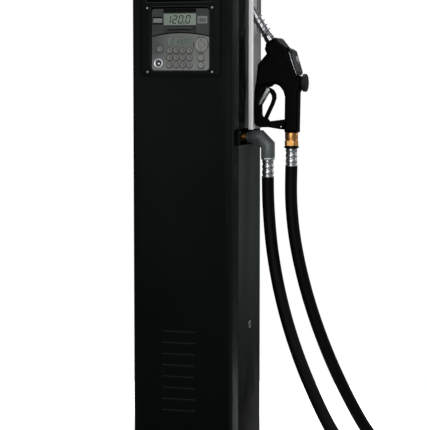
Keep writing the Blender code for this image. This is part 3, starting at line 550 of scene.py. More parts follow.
def cast(name, colour, rough, metallic=0.2, specular=0.4, depth=0.30, lighter=None):
    look = Look(name, colour, rough, metallic=metallic, specular=specular)
    look.tone(look.noise(30.0, 4, 0.6), times(colour, 1.5), 0.42, 0.70)
    if lighter:
        # the colour is made lighter towards the bottom, on the hanging leg, than on the leg at the wall
        look.tone(look.axis(2), lighter[:3], *lighter[3:])
    look.tone(look.noise(420.0, 3, 0.6), times(colour, 0.6), 0.62, 0.85)
    look.gloss(look.noise(140.0, 4, 0.6), rough * 0.82, rough * 1.15)
    look.bump(look.noise(480.0, 3, 0.6), depth, 0.0005)
    look.bump(look.noise(60.0, 2), 0.10, 0.0010)
    return look.mat


# painted light and shade on the door: lighter on its +X return, darker towards the bottom
DOOR = powder("door_satin_black", (0.0032, 0.0041, 0.0038), 0.42, 0.035, painted_side_lighting=2.1, painted_bottom_shade=(0.0003, 0.0008, 0.0006))
CABINET = Look("cabinet_gloss_black", (0.0042, 0.0050, 0.0048), 0.15, specular=0.035)
CABINET.tone(CABINET.noise(4.0, 3), (0.0075, 0.0088, 0.0084), 0.42, 0.70)
CABINET.gloss(CABINET.noise(12.0, 5, 0.65, distortion=1.0), 0.12, 0.22)
CABINET.bump(CABINET.noise(260.0, 2), 0.035, 0.0004)
CABINET = CABINET.mat
COVER = Look("cover_satin_grey", (0.0022, 0.0028, 0.0026), 0.50, specular=0.015)
# painted light: the side cover's colour is made lighter towards the top
COVER.tone(COVER.axis(2), (0.0440, 0.0530, 0.0495), 0.24, 0.72)
COVER.tone(COVER.noise(6.0, 3), (0.0160, 0.0192, 0.0178), 0.66, 0.95)
COVER.gloss(COVER.noise(10.0, 4, 0.6, distortion=0.6), 0.44, 0.56)
COVER.bump(COVER.noise(620.0, 2), 0.12, 0.00025)
COVER = COVER.mat
# painted reflection: a near-white colour with almost no metal stands in for the bright reflection on the boot's front
# flange; the side shade and spout shadow come through painted_side_lighting
STAINLESS = brushed("stainless_brushed", (1.0, 1.0, 1.0), 0.40, (900.0, 900.0, 12.0), marks=False, metallic=0.05, painted_side_lighting=0.31)
ZINC = brushed("zinc_plated", (0.52, 0.53, 0.52), 0.42, (160.0, 160.0, 160.0))
CHROME = polished("chrome_spout", (0.50, 0.51, 0.52), 0.16)
SPOUT_METAL = polished("spout_plated", (0.27, 0.27, 0.285), 0.15)
FERRULE = polished("ferrule_plated", (0.46, 0.48, 0.50), 0.30, 0.15, 0.02)
STEEL_DARK = polished("latch_steel", (0.20, 0.21, 0.215), 0.34, 0.3, 0.08)
BRASS = polished("brass_machined", (0.71, 0.365, 0.115), 0.38, 0.15, 0.02)
CAST = cast("cast_elbow", (0.046, 0.053, 0.055), 0.44, lighter=(0.092, 0.106, 0.106, 0.9980, 0.9860))
PUMP_CAST = cast("cast_pump", (0.070, 0.075, 0.078), 0.55, 0.3)
MOTOR_PAINT = cast("motor_paint", (0.022, 0.060, 0.120), 0.42, 0.0, 0.5, 0.18)
FILTER_PAINT = powder("filter_paint", (0.62, 0.62, 0.59), 0.30, 0.5, 0.05, False)
NOZZLE = moulded("nozzle_vinyl_black", (0.0007, 0.0007, 0.0009), 0.40, 0.025, 800.0, 0.10)
COVER_PLASTIC = moulded("cover_plastic_grey", (0.040, 0.043, 0.046), 0.40, 0.5, 1100.0, 0.08)
CAP = moulded("cap_plastic_black", (0.0062, 0.0066, 0.0066), 0.42, 0.12, 1100.0, 0.08)
BEZEL = moulded("bezel_plastic_black", (0.0019, 0.0028, 0.0026), 0.46, 0.05, 1500.0, 0.10)
DARK_PANEL = moulded("panel_dark_grey", (0.020, 0.0245, 0.0235), 0.46, 0.3, 1500.0, 0.08)
HEADER = Look("header_smoked", (0.0008, 0.0014, 0.0013), 0.10, specular=0.025)
HEADER.tone(HEADER.noise(18.0, 3), (0.0014, 0.0022, 0.0020), 0.45, 0.7)
HEADER.gloss(HEADER.noise(45.0, 4, 0.6), 0.07, 0.14)
HEADER = HEADER.mat
FASCIA = Look("fascia_film_grey", (0.100, 0.106, 0.099), 0.46, specular=0.4)
# painted light and shade: the film is made lighter towards the right and the bottom, darker at the left
FASCIA.tone(FASCIA.axis(0), (0.135, 0.142, 0.132), 0.005, 0.070)
FASCIA.tone(FASCIA.axis(0), (0.040, 0.046, 0.042), -0.030, -0.078)
FASCIA.tone(FASCIA.axis(2), (0.150, 0.157, 0.148), 1.255, 1.208)
FASCIA.tone(FASCIA.noise(900.0, 2, 0.6), (0.100, 0.103, 0.097), 0.62, 0.85)
FASCIA.gloss(FASCIA.noise(30.0, 4, 0.6), 0.40, 0.52)
FASCIA.bump(FASCIA.noise(1500.0, 2), 0.06, 0.0002)
FASCIA = FASCIA.mat
KEY = Look("key_film_grey", (0.118, 0.120, 0.113), 0.38, specular=0.45)
# painted light: keys towards the right get a lighter colour
KEY.tone(KEY.axis(0), (0.175, 0.176, 0.166), 0.020, 0.060)
KEY.tone(KEY.noise(300.0, 3, 0.6), (0.100, 0.102, 0.096), 0.50, 0.72)
KEY.gloss(KEY.noise(90.0, 4, 0.6), 0.32, 0.45)
KEY.bump(KEY.noise(1500.0, 2), 0.05, 0.0002)
KEY = KEY.mat
INK = Look("ink_dark", (0.0020, 0.0028, 0.0026), 0.45, specular=0.06)
INK.tone(INK.noise(500.0, 2), (0.0040, 0.0050, 0.0048), 0.45, 0.7)
INK.gloss(INK.noise(120.0, 2), 0.38, 0.5)
INK = INK.mat
LABEL = Look("label_blank", (0.150, 0.160, 0.155), 0.34, specular=0.5)
LABEL.tone(LABEL.noise(120.0, 3), (0.125, 0.134, 0.130), 0.45, 0.7)
LABEL.gloss(LABEL.noise(80.0, 3), 0.28, 0.40)
LABEL = LABEL.mat
FAINT = Look("figure_ink_grey", (0.044, 0.046, 0.044), 0.45, specular=0.2)
FAINT.tone(FAINT.noise(500.0, 2), (0.055, 0.058, 0.055), 0.45, 0.7)
FAINT.gloss(FAINT.noise(120.0, 2), 0.38, 0.5)
FAINT = FAINT.mat
SCREW = cast("screw_zinc_bright", (0.26, 0.27, 0.27), 0.40, 0.2, 0.5, 0.05)
NOZZLE_LABEL = powder("label_pale", (0.30, 0.31, 0.32), 0.34, 0.4, 0.03, False)
RIB = Look("rib_satin_black", (0.0007, 0.0013, 0.0011), 0.40, specular=0.05)
# painted highlight: the upper slope of a pressed rib gets a paler colour by its upward-turned normal
rib_highlight_normal = RIB.n.new("ShaderNodeSeparateXYZ")
RIB.l.new(RIB.coord.outputs["Normal"], rib_highlight_normal.inputs[0])
RIB.tone(rib_highlight_normal.outputs[2], (0.0112, 0.0121, 0.0116), 0.18, 0.52)
RIB.gloss(RIB.noise(9.0, 4, 0.6), 0.36, 0.46)
RIB = RIB.mat
# painted highlight: the lips round the panel and header are a paler copy of the black bezel plastic
LIP_HIGHLIGHT = moulded("bezel_lip_highlight", (0.0120, 0.0140, 0.0135), 0.42, 0.12, 1500.0, 0.08)
NOZZLE_COVER = Look("nozzle_cover_grey", (0.0270, 0.0290, 0.0320), 0.40, specular=0.25)
# painted shade: the valve cover is made darker towards the top
NOZZLE_COVER.tone(NOZZLE_COVER.axis(2), (0.0120, 0.0128, 0.0138), 1.222, 1.256)
NOZZLE_COVER.gloss(NOZZLE_COVER.noise(35.0, 4, 0.6), 0.36, 0.46)
NOZZLE_COVER.bump(NOZZLE_COVER.cells(1100.0), 0.08, 0.0003)
NOZZLE_COVER = NOZZLE_COVER.mat
# painted highlight: a paler grey for the crown on the nozzle body's upper edge
NOZZLE_CROWN_HIGHLIGHT = moulded("nozzle_crown_highlight_grey", (0.0150, 0.0165, 0.0165), 0.42, 0.3, 1100.0, 0.08)
DIM = Look("label_field", (0.070, 0.076, 0.074), 0.36, specular=0.4)
DIM.tone(DIM.noise(150.0, 3), (0.055, 0.060, 0.058), 0.45, 0.7)
DIM.gloss(DIM.noise(80.0, 3), 0.30, 0.42)
DIM = DIM.mat
SLOT = moulded("slot_bar_dark", (0.014, 0.016, 0.016), 0.42, 0.2, 1300.0, 0.08)
BAND = Look("band_smoked", (0.0018, 0.0028, 0.0026), 0.18, specular=0.08)
BAND.tone(BAND.axis(2), (0.0110, 0.0130, 0.0126), 1.3720, 1.3655)
BAND.gloss(BAND.noise(60.0, 3), 0.14, 0.24)
BAND = BAND.mat
LCD = Look("lcd_glass_green", (0.185, 0.225, 0.185), 0.12, specular=0.5)
# painted light: the glass is made lighter towards the right
LCD.tone(LCD.axis(0), (0.225, 0.265, 0.222), -0.05, 0.045)
LCD.tone(LCD.waves(330.0, "Z", LCD.space()), (0.17, 0.207, 0.172), 0.2, 1.6)
LCD.tone(LCD.axis(2), (0.138, 0.158, 0.138), 1.3255, 1.3045)
LCD.gloss(LCD.noise(40.0, 3), 0.08, 0.17)
LCD = LCD.mat
DIGIT = Look("lcd_segment", (0.014, 0.020, 0.016), 0.16, specular=0.5)
DIGIT.tone(DIGIT.noise(400.0, 2), (0.022, 0.030, 0.024), 0.45, 0.7)
DIGIT.gloss(DIGIT.noise(90.0, 2), 0.12, 0.22)
DIGIT = DIGIT.mat
BOARD = Look("board_mask_green", (0.016, 0.095, 0.038), 0.30, specular=0.5)
BOARD.tone(BOARD.cells(160.0), (0.030, 0.150, 0.060), 0.35, 0.45)
BOARD.gloss(BOARD.noise(200.0, 2), 0.25, 0.40)
BOARD = BOARD.mat


def hose_look():
    """Black hose cover with the fine criss-cross print of its curing tape and scuffs."""
    look = Look("hose_rubber", (0.0015, 0.0015, 0.0018), 0.50, specular=0.06)
    scuff = look.noise(1.0, 4, 0.65, look.space((30.0, 6.0, 1.0), uv=True))
    look.tone(scuff, (0.0045, 0.0045, 0.0050), 0.55, 0.78)
    look.gloss(scuff, 0.40, 0.60)
    a = look.waves(210.0, "X", look.space(turn=(0, 0, math.radians(54)), uv=True))
    b = look.waves(210.0, "X", look.space(turn=(0, 0, math.radians(-54)), uv=True))
    look.bump(look.math("MAXIMUM", a, b), 0.22, 0.0004)
    look.bump(look.noise(300.0, 2), 0.05, 0.0005)
    return look.mat


HOSE = hose_look()

# ================================================================== camera
camera_data = bpy.data.cameras.new("camera")
camera_data.sensor_width = 36.0
camera_data.lens = 136.34
camera_data.clip_start, camera_data.clip_end = 0.1, 60.0
camera = link(bpy.data.objects.new("camera", camera_data))
camera.location = (1.4667, -4.5729, 1.1880)
camera.rotation_euler = (math.pi / 2 - 0.08539, 0.0, 0.30055)
SCENE.camera = camera

# =============================================================== fuel hose
NOZZLE_Y = 0.052
HOSE_R = 0.018
COIL_X, COIL_Y = 0.570, 0.062
OUTER, INNER = 0.2235, 0.1865

drop = [
    (0.2010, NOZZLE_Y, 0.8925), (0.2015, 0.0518, 0.8400), (0.2037, 0.0513, 0.7967), (0.2131, 0.0462, 0.7032),
    (0.2304, 0.0350, 0.6111), (0.2559, 0.0168, 0.5210), (0.2896, -0.0092, 0.4336), (0.3314, -0.0436, 0.3497),
    (0.3810, -0.0868, 0.2698), (0.4379, -0.1393, 0.1949), (0.4900, -0.1727, 0.1380), (0.5475, -0.1833, 0.0890),
    (0.6080, -0.1729, 0.0507), (0.6689, -0.1434, 0.0263),
]


def coil_point(degrees):
    """The coil's turns on the floor: the outer one slips inside the last third of its way."""
    t = max(0.0, min(1.0, (degrees - 85) / (296 - 85)))
    r = OUTER + (INNER - OUTER) * t * t * (3 - 2 * t)
    a = math.radians(degrees)
    return (COIL_X + r * math.cos(a), COIL_Y + r * math.sin(a), 0.0186)


coil = [coil_point(a) for a in range(-47, 408, 13)]
coil.append(coil_point(407))
rise = [
    coil_point(407), (0.6507, 0.2295, 0.0202), (0.5979, 0.2439, 0.0278), (0.5467, 0.2426, 0.0448),
    (0.5020, 0.2299, 0.0744), (0.4685, 0.2098, 0.1199), (0.4206, 0.1685, 0.2251), (0.3802, 0.1337, 0.3285),
    (0.3463, 0.1052, 0.4302), (0.3181, 0.0830, 0.5307), (0.2956, 0.0669, 0.6301), (0.2794, 0.0568, 0.7287),
    (0.2715, 0.0523, 0.8269), (0.2716, NOZZLE_Y, 0.8800), (0.2725, NOZZLE_Y, 0.9262),
]
whole = smooth_route(drop + coil + rise[1:], 0.0075)
whole = relax(whole, 30)
whole = [Vector((p.x, p.y, max(p.z, 0.0184))) for p in whole]
join = coil_point(407)
cut_at = min(range(len(whole)), key=lambda i: (whole[i] - Vector(join)).length)
lower_line, upper_line = whole[: cut_at + 1], whole[cut_at:]


def length_of(line):
    return sum((b - a).length for a, b in zip(line, line[1:]))


hose_lower = tube("hose_lower", lower_line, HOSE_R)
shade(hose_lower, 60)
piece(hose_lower, HOSE, "root", "hose_drop", "hose_coil", slot="hose_rubber")
hose_upper = tube("hose_upper", upper_line, HOSE_R)
shade(hose_upper, 60)
piece(hose_upper, HOSE, None, "hose_rise", slot="hose_rubber")
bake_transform(hose_upper)
print("hose lengths", round(length_of(lower_line), 3), round(length_of(upper_line), 3))

# ================================================= cabinet, base, boot, inside
keep("base_plate", ZINC, 0.0004)
keep("base_frame", DOOR, 0.0003)
keep("cabinet_body", CABINET, 0.0005)
keep("top_cap", DOOR, 0.0003, angle=50)
keep("side_cover", COVER, 0.0004)
keep("hinge_pin_upper", ZINC, 0.0002)
keep("nozzle_boot", STAINLESS, 0.0004)
keep("spout_socket", STAINLESS, 0.0004)
keep("motor_housing", MOTOR_PAINT, 0.0008, 3)
keep("pump_body", PUMP_CAST, 0.0008, 3)
keep("drive_shaft", ZINC, 0.0006)
keep("suction_pipe", ZINC, 0.0, angle=45)
keep("side_panel", CABINET, 0.0004)
keep("filter_head", PUMP_CAST, 0.0)
keep("filter_cartridge", FILTER_PAINT, 0.0008, 3)
keep("meter_body", PUMP_CAST, 0.0010, 3)
keep("outlet_pipe", ZINC, 0.0, angle=45)
keep("outlet_nipple", BRASS, 0.0005, 2)
keep("electrics_box", DARK_PANEL, 0.0)
keep("circuit_board", BOARD, 0.0002)
keep("console_housing", DARK_PANEL, 0.0004)
keep("hold_open_latch", STEEL_DARK, 0.0003)


def screw(name, at, axis, r, body, mat=None, count=36):
    """A small button-head screw with a hexagon socket."""
    h = r * 0.55

    def socket(a, rr, hh):
        local = (a + math.pi / 6) % (math.pi / 3) - math.pi / 6
        return rr * math.cos(math.pi / 6) / math.cos(local) if r * 0.30 < rr < r * 0.50 else rr

    head = to_object(name, [lathe(
        [(r * 0.96, -0.0004), (r, h * 0.18), (r * 0.97, h * 0.45), (r * 0.82, h * 0.78), (r * 0.62, h * 0.96), (r * 0.49, h), (r * 0.46, h * 0.90), (r * 0.44, h * 0.35), (r * 0.05, h * 0.28)],
        tuple(at), tuple(axis), count, wave=socket)])
    shade(head, 40)
    return piece(head, mat or CHROME, body)


# lock of the side cover
LOCK = (0.0336, 0.453)
lock = to_object("cam_lock_barrel", [lathe(
    [(0.0095, -0.0260), (0.0095, -0.0024), (0.0112, -0.0018), (0.0116, -0.0008), (0.0113, 0.0), (0.0098, 0.0006), (0.0088, 0.0002), (0.0084, -0.0004), (0.0040, -0.0004)],
    (0.1524, *LOCK), (1, 0, 0), 48)])
boolean(lock, "UNION", [prism_x([(LOCK[0] - 0.006, LOCK[1] - 0.006), (LOCK[0] + 0.006, LOCK[1] - 0.006),
                                 (LOCK[0] + 0.0055, LOCK[1] + 0.034), (LOCK[0] - 0.0055, LOCK[1] + 0.034)], 0.1390, 0.1420)])
boolean(lock, "DIFFERENCE", [box(0.1500, 0.16, LOCK[0] - 0.0006, LOCK[0] + 0.0006, LOCK[1] - 0.0038, LOCK[1] + 0.0038)])
shade(lock, 35)
piece(lock, STEEL_DARK, "lock", "cam_lock", slot="chrome")

# ====================================================================== door
HINGE = (-0.1455, -0.0855)


def door_outline(offset, back, steps=14):
    r, edge = 0.013 - offset, 0.150 - offset
    points = [(-edge, back)]
    for cx, start in ((-0.137, 180), (0.137, 270)):
        for k in range(steps + 1):
            a = math.radians(start + 90 * k / steps)
            points.append((cx + r * math.cos(a), -0.137 + r * math.sin(a)))
    points.append((edge, back))
    return points


door = to_object("door_shell", [prism_z(door_outline(0.0, -0.081), 0.032, 1.580)])
boolean(door, "DIFFERENCE", [prism_z(door_outline(0.0015, -0.05), 0.0335, 1.5785)])
boolean(door, "DIFFERENCE", [box(-0.112, 0.107, -0.2, -0.14, 1.195, 1.530)])
boolean(door, "DIFFERENCE", [box(0.14, 0.2, -0.125, -0.05, 0.9873, 1.0347)])
boolean(door, "DIFFERENCE", [prism_z(circle(*HINGE, 0.0025, 20), 0.02, 0.05), prism_z(circle(*HINGE, 0.0025, 20), 1.56, 1.60)])
bevel(door, 0.0004, 2, 40)
# eight plain pressed ribs in the lower half, each domed and running out at its ends
ribs = []
for k in range(8):
    z = 0.2175 + 0.0329 * k
    rings = []
    for t, back in ((0.0, 0.0), (0.2, 0.0004), (0.4, 0.0010), (0.6, 0.0017), (0.8, 0.0026), (1.0, 0.0036)):
        outline = rounded(-0.0620 + back, 0.0410 - back, z - 0.0042 + back, z + 0.0042 - back, 0.0042 - back - 0.00005, 8)
        rings.append([(x, -0.1499 - 0.0016 * math.sin(t * math.pi / 2), zz) for x, zz in outline])
    ribs.append(loft([[(x, -0.1492, zz) for x, y, zz in rings[0]]] + rings))
door_ribs = to_object("door_ribs", ribs)
shade(door_ribs, 60)
piece(door_ribs, RIB, "door", slot="door_black")
shade(door, 30)
piece(door, DOOR, "door", "front_door", slot="door_black")

# =================================================================== console
CONSOLE = (-0.1233, 0.1186, 1.1855, 1.5450)
PANEL = (-0.0903, 0.0856, 1.2023, 1.3827)
HEADER_BOX = (-0.1017, 0.0901, 1.3975, 1.5150)
outline = rounded(*CONSOLE, 0.008, 10)
frame_piece = to_object("console_bezel", [loft([
    [(x, -0.1503, z) for x, z in outline],
    [(x, -0.1518, z) for x, z in outline],
    [(x, -0.1524, z) for x, z in inset(outline, 0.0008)],
    [(x, -0.1551, z) for x, z in inset(outline, 0.0060)],
    [(x, -0.1553, z) for x, z in inset(outline, 0.0070)],
])])
boolean(frame_piece, "DIFFERENCE", [prism_y(rounded(*PANEL, 0.012, 10), -0.2, -0.1)])
boolean(frame_piece, "DIFFERENCE", [prism_y(rounded(*HEADER_BOX, 0.003, 6), -0.2, -0.1)])
# raised lip round the panel and the header
for x0, x1, z0, z1, r in ((*PANEL, 0.012), (*HEADER_BOX, 0.003)):
    inner = rounded(x0 + 0.0000, x1 - 0.0000, z0, z1, r, 10)
    wide = rounded(x0 - 0.0030, x1 + 0.0030, z0 - 0.0030, z1 + 0.0030, r + 0.003, 10)
    crest_in, crest_out = inset(wide, 0.0024), inset(wide, 0.0010)
    lip = to_object("lip", [loft([
        [(x, -0.1548, z) for x, z in inner], [(x, -0.1557, z) for x, z in crest_in],
        [(x, -0.1558, z) for x, z in crest_out], [(x, -0.1548, z) for x, z in wide]], closed=True)])
    mod = frame_piece.modifiers.new("lip", "BOOLEAN")
    mod.operation, mod.solver, mod.object = "UNION", "EXACT", lip
    apply(frame_piece)
    bpy.data.objects.remove(lip, do_unlink=True)
shade(frame_piece, 32)
piece(frame_piece, BEZEL, "door", "console_frame", slot="bezel_black")
for k, (x, z) in enumerate(((-0.1004, 1.3798), (0.0932, 1.3798), (-0.1004, 1.1984), (0.0932, 1.1984))):
    screw(f"bezel_screw_{k + 1}", (x, -0.1552, z), (0, -1, 0), 0.0032, "door", SCREW)


def band_round(name, inside, r_in, outside, r_out, back, front, mat, slot_name):
    """A flat ring between two rounded boxes, standing off the front."""
    a, b = rounded(*inside, r_in, 10), rounded(*outside, r_out, 10)
    obj = to_object(name, [loft([[(x, y, z) for x, z in ring] for ring, y in ((a, back), (a, front), (b, front), (b, back))], closed=True)])
    shade(obj, 30)
    return piece(obj, mat, "door", slot=slot_name)


def grown(frame_box, by):
    return (frame_box[0] - by, frame_box[1] + by, frame_box[2] - by, frame_box[3] + by)


# painted shade: a very dark flat ring lies in the groove between the lip and the panel
band_round("panel_shade_margin", (-0.0872, 0.0843, 1.2029, 1.3772), 0.0090, grown(PANEL, -0.0004), 0.0115, -0.1544, -0.1548, HEADER, "bezel_black")
band_round("panel_lip", grown(PANEL, 0.0006), 0.0126, grown(PANEL, 0.0023), 0.0143, -0.1552, -0.1560, LIP_HIGHLIGHT, "bezel_black")
band_round("header_lip", grown(HEADER_BOX, 0.0008), 0.0038, grown(HEADER_BOX, 0.0030), 0.0060, -0.1546, -0.1560, LIP_HIGHLIGHT, "bezel_black")

hx0, hx1, hz0, hz1 = HEADER_BOX
g = 0.0004
header_line = rounded(hx0 + g, hx1 - g, hz0 + g, hz1 - g, 0.003, 8)
header = to_object("header_window", [loft([
    [(x, -0.1508, z) for x, z in header_line],
    [(x, -0.1534, z) for x, z in header_line],
    [(x, -0.1539, z) for x, z in inset(header_line, 0.0003)],
    [(x, -0.1541, z) for x, z in inset(header_line, 0.0010)]])])
shade(header, 30)
piece(header, HEADER, "door", "header_panel", slot="header_gloss")


def arch(x, drop=0.0):
    return 1.3003 + 0.0110 * (1 - ((x + 0.0024) / 0.0880) ** 2) - drop


def panel_outline(upper, grow=0.0):
    x0, x1, z0, z1 = (PANEL[0] + 0.0004, PANEL[1] - 0.0004, PANEL[2] + 0.0004, PANEL[3] - 0.0004)
    xs = [x0 + (x1 - x0) * k / 32 for k in range(33)]
    whole = rounded(x0, x1, z0, z1, 0.0115, 10)
    if upper:
        return [p for p in whole if p[1] > 1.34] + [(x, arch(x)) for x in xs]
    return [p for p in whole if p[1] < 1.25] + [(x, arch(x, 0.0010)) for x in reversed(xs)]


LCD_BOX = (-0.0519, 0.0452, 1.3308, 1.3695)
display = to_object("display_panel", [prism_y(panel_outline(True), -0.1545, -0.1515)])
boolean(display, "DIFFERENCE", [box(LCD_BOX[0] - g, LCD_BOX[1] + g, -0.2, -0.1, LCD_BOX[2] - g, LCD_BOX[3] + g)])
# fine horizontal grooves beside the display
grooves = []
for z in (1.3770, 1.3725, 1.3325, 1.3280, 1.3235, 1.3190, 1.3145):
    grooves.append(box(-0.0862, -0.0545, -0.2, -0.15415, z, z + 0.0007))
    grooves.append(box(0.0480, 0.0816, -0.2, -0.15415, z, z + 0.0007))
boolean(display, "DIFFERENCE", grooves)
bevel(display, 0.00015, 1, 50)
shade(display, 30)
piece(display, DARK_PANEL, "door", "display_fascia", slot="dark_plastic")
keep("lcd_main", LCD, 0.0)

# the dark band over the display and the dark slot with its bar below it
band = to_object("display_band", [loft([
    [(x, y, z) for x, z in inset(rounded(LCD_BOX[0], LCD_BOX[1], 1.3642, 1.3766, 0.0012, 5), back)]
    for y, back in ((-0.1543, 0.0), (-0.1549, 0.0), (-0.1551, 0.0003))])])
shade(band, 30)
piece(band, BAND, "door", slot="header_gloss")
slot_low = [(LCD_BOX[0] - 0.0005 + 0.0981 * k / 14, arch(LCD_BOX[0] - 0.0005 + 0.0981 * k / 14, -0.0012)) for k in range(15)]
slot_frame = slot_low + [(LCD_BOX[1] + 0.0005, 1.3296), (LCD_BOX[0] - 0.0005, 1.3296)]
slot = to_object("display_slot", [loft([
    [(x, y, z) for x, z in inset(slot_frame, back)] for y, back in ((-0.1543, 0.0), (-0.1547, 0.0), (-0.1549, 0.0004), (-0.1546, 0.0012))])])
shade(slot, 30)
piece(slot, SLOT, "door", slot="bezel_black")
bar_top = [(x / 1000, 1.3244 + 0.0010 * (1 - ((x + 3.4) / 38.0) ** 2)) for x in range(-40, 35, 5)]
bar_low = [(x, z - 0.0032) for x, z in reversed(bar_top)]
bar = to_object("display_bar", [loft([[(x, y, z) for x, z in inset(bar_top + bar_low, back)] for y, back in ((-0.1545, 0.0), (-0.1550, 0.0), (-0.1553, 0.0006))])])
shade(bar, 35)
piece(bar, DARK_PANEL, "door", slot="dark_plastic")
bar2 = to_object("display_bar_2", [loft([[(x, y, z - 0.0058) for x, z in inset(bar_top + bar_low, 0.0003 + back)] for y, back in ((-0.1545, 0.0), (-0.1549, 0.0), (-0.1551, 0.0004))])])
shade(bar2, 35)
piece(bar2, HEADER, "door", slot="bezel_black")


def plate(name, x0, x1, z0, z1, r, front, back, mat, slot_name, chamfer=0.0003):
    line = rounded(x0, x1, z0, z1, r, 6)
    obj = to_object(name, [loft([
        [(x, back, z) for x, z in line], [(x, front + chamfer, z) for x, z in line], [(x, front, z) for x, z in inset(line, chamfer)]])])
    shade(obj, 30)
    return piece(obj, mat, "door", slot=slot_name)


# plain label plates beside the display
plate("label_left", -0.0845, -0.0533, 1.3330, 1.3550, 0.0010, -0.1548, -0.1543, INK, "bezel_black")
plate("label_left_field", -0.0825, -0.0550, 1.3378, 1.3506, 0.0012, -0.1551, -0.1546, LABEL, "stainless")
plate("label_right", 0.0500, 0.0790, 1.3352, 1.3558, 0.0010, -0.1548, -0.1543, LABEL, "stainless")
plate("label_right_field", 0.0548, 0.0748, 1.3398, 1.3502, 0.0010, -0.1551, -0.1546, DIM, "dark_plastic")

SEGMENTS = {"0": "abcdef", "1": "bc", "2": "abged", "3": "abgcd", "4": "fgbc", "5": "afgcd", "6": "afgedc", "7": "abc", "8": "abcdefg", "9": "abcdfg", "-": "g"}


def segments(name, text, x, z, height, pitch, front, mat, thick=0.13, slant=0.16):
    """Slanted seven-segment figures, each segment a six-sided bar."""
    shapes = []
    w, h, t = pitch * 0.60, height, height * thick

    def bar_shape(a, b):
        a, b = Vector(a), Vector(b)
        along = (b - a).normalized()
        side = Vector((-along.y, along.x)) * t / 2
        a, b = a + along * t * 0.12, b - along * t * 0.12
        ring = [a, a + along * t / 2 + side, b - along * t / 2 + side, b, b - along * t / 2 - side, a + along * t / 2 - side]
        ring = [(p.x + p.y * slant, p.y) for p in ring]
        shapes.append(prism_y([(x + px, z + pz) for px, pz in ring], front, front + 0.00025))

    for c in text:
        if c == ".":
            x -= pitch * 0.14
            d = t * 0.55
            shapes.append(prism_y([(x + px, z + pz) for px, pz in ((-d, -d), (d, -d), (d * 1.2, d), (-d * 0.8, d))], front, front + 0.00025))
            x += pitch * 0.30
            continue
        ends = {"a": ((0, h), (w, h)), "b": ((w, h / 2), (w, h)), "c": ((w, 0), (w, h / 2)), "d": ((0, 0), (w, 0)),
                "e": ((0, 0), (0, h / 2)), "f": ((0, h / 2), (0, h)), "g": ((0, h / 2), (w, h / 2))}
        for s in SEGMENTS.get(c, ""):
            bar_shape(*ends[s])
        x += pitch
    obj = to_object(name, shapes)
    return piece(obj, mat, "door", slot="lcd_green")


segments("lcd_figures", "120.0", -0.0440, 1.3366, 0.0208, 0.0184, -0.15405, DIGIT, 0.14)

# -------------------------------------------------------------- keypad panel
KEY_COLUMNS = (-0.0338, -0.0141, 0.0058, 0.0252)
KEY_ROWS = (1.2590, 1.2393, 1.2184)
KEY_R, SIDE_R = 0.0088, 0.0092
SIDE_KEYS = {"key_left": (-0.0626, 1.2628), "key_enter": (0.0600, 1.2382), "key_clear": (0.0600, 1.2178)}
NAV = (0.0600, 1.2749, 0.0208)
READER = (-0.0679, 1.2226, 0.0150)
BACK = -0.1515

keypad = to_object("keypad_panel", [prism_y(panel_outline(False), -0.1545, BACK)])
holes = [(x, z, KEY_R + 0.0006) for z in KEY_ROWS for x in KEY_COLUMNS] + [(x, z, SIDE_R + 0.0006) for x, z in SIDE_KEYS.values()]
holes += [(NAV[0], NAV[1], NAV[2] + 0.0006), (READER[0], READER[1], READER[2] + 0.0004)]
boolean(keypad, "DIFFERENCE", [prism_y(circle(x, z, r, 40), -0.2, -0.1) for x, z, r in holes])
bevel(keypad, 0.00018, 1, 50)
shade(keypad, 30)
piece(keypad, FASCIA, "door", "keypad_fascia", slot="fascia_grey")


def rings_piece(name, entries, mat, slot_name, front=-0.1547):
    """Thin raised outlines round the keys: (x, z, inner radius, width, start, end) in degrees."""
    shapes = []
    for x, z, r, width, start, end in entries:
        steps = max(6, int(abs(end - start) / 7))
        full = abs(end - start) >= 359
        inner, outer = [], []
        for k in range(steps + (0 if full else 1)):
            a = math.radians(start + (end - start) * k / steps)
            inner.append((x + r * math.cos(a), z + r * math.sin(a)))
            outer.append((x + (r + width) * math.cos(a), z + (r + width) * math.sin(a)))
        rings = []
        for (ix, iz), (ox, oz) in zip(inner, outer):
            rings.append([(ix, -0.1544, iz), (ix, front, iz), (ox, front, oz), (ox, -0.1544, oz)])
        shapes.append(loft(rings, closed=full))
    return piece(to_object(name, shapes), mat, "door", slot=slot_name)


# painted shadow: the dark arcs on the lower side of each key stand for the shade below the raised keys; the four arcs
# round the nav pad are print
marks = []
for z in KEY_ROWS:
    for x in KEY_COLUMNS:
        marks.append((x, z, KEY_R + 0.0007, 0.0009, 200, 340))
for x, z in SIDE_KEYS.values():
    marks.append((x, z, SIDE_R + 0.0007, 0.0010, 195, 345))
for a in (90, 180, 270, 0):
    marks.append((NAV[0], NAV[1], NAV[2] + 0.0008, 0.0012, a - 26, a + 26))
rings_piece("key_shadow_arcs_and_nav_marks", marks, INK, "bezel_black")
fine = [(x, z, KEY_R + 0.0007, 0.0004, 0, 360) for z in KEY_ROWS for x in KEY_COLUMNS] + [(x, z, SIDE_R + 0.0007, 0.0004, 0, 360) for x, z in SIDE_KEYS.values()]
rings_piece("key_rims", fine, COVER_PLASTIC, "dark_plastic", -0.15462)

# dark line that follows the arch between the two panels
line = []
for k in range(33):
    x = PANEL[0] + 0.0006 + (PANEL[1] - PANEL[0] - 0.0012) * k / 32
    line.append((x, arch(x)))
arch_line = to_object("arch_line", [loft([[(x, -0.1540, z - 0.0038), (x, -0.1549, z - 0.0034), (x, -0.1549, z + 0.0003), (x, -0.1540, z + 0.0006)] for x, z in line])])
shade(arch_line, 30)
piece(arch_line, INK, "door", slot="bezel_black")

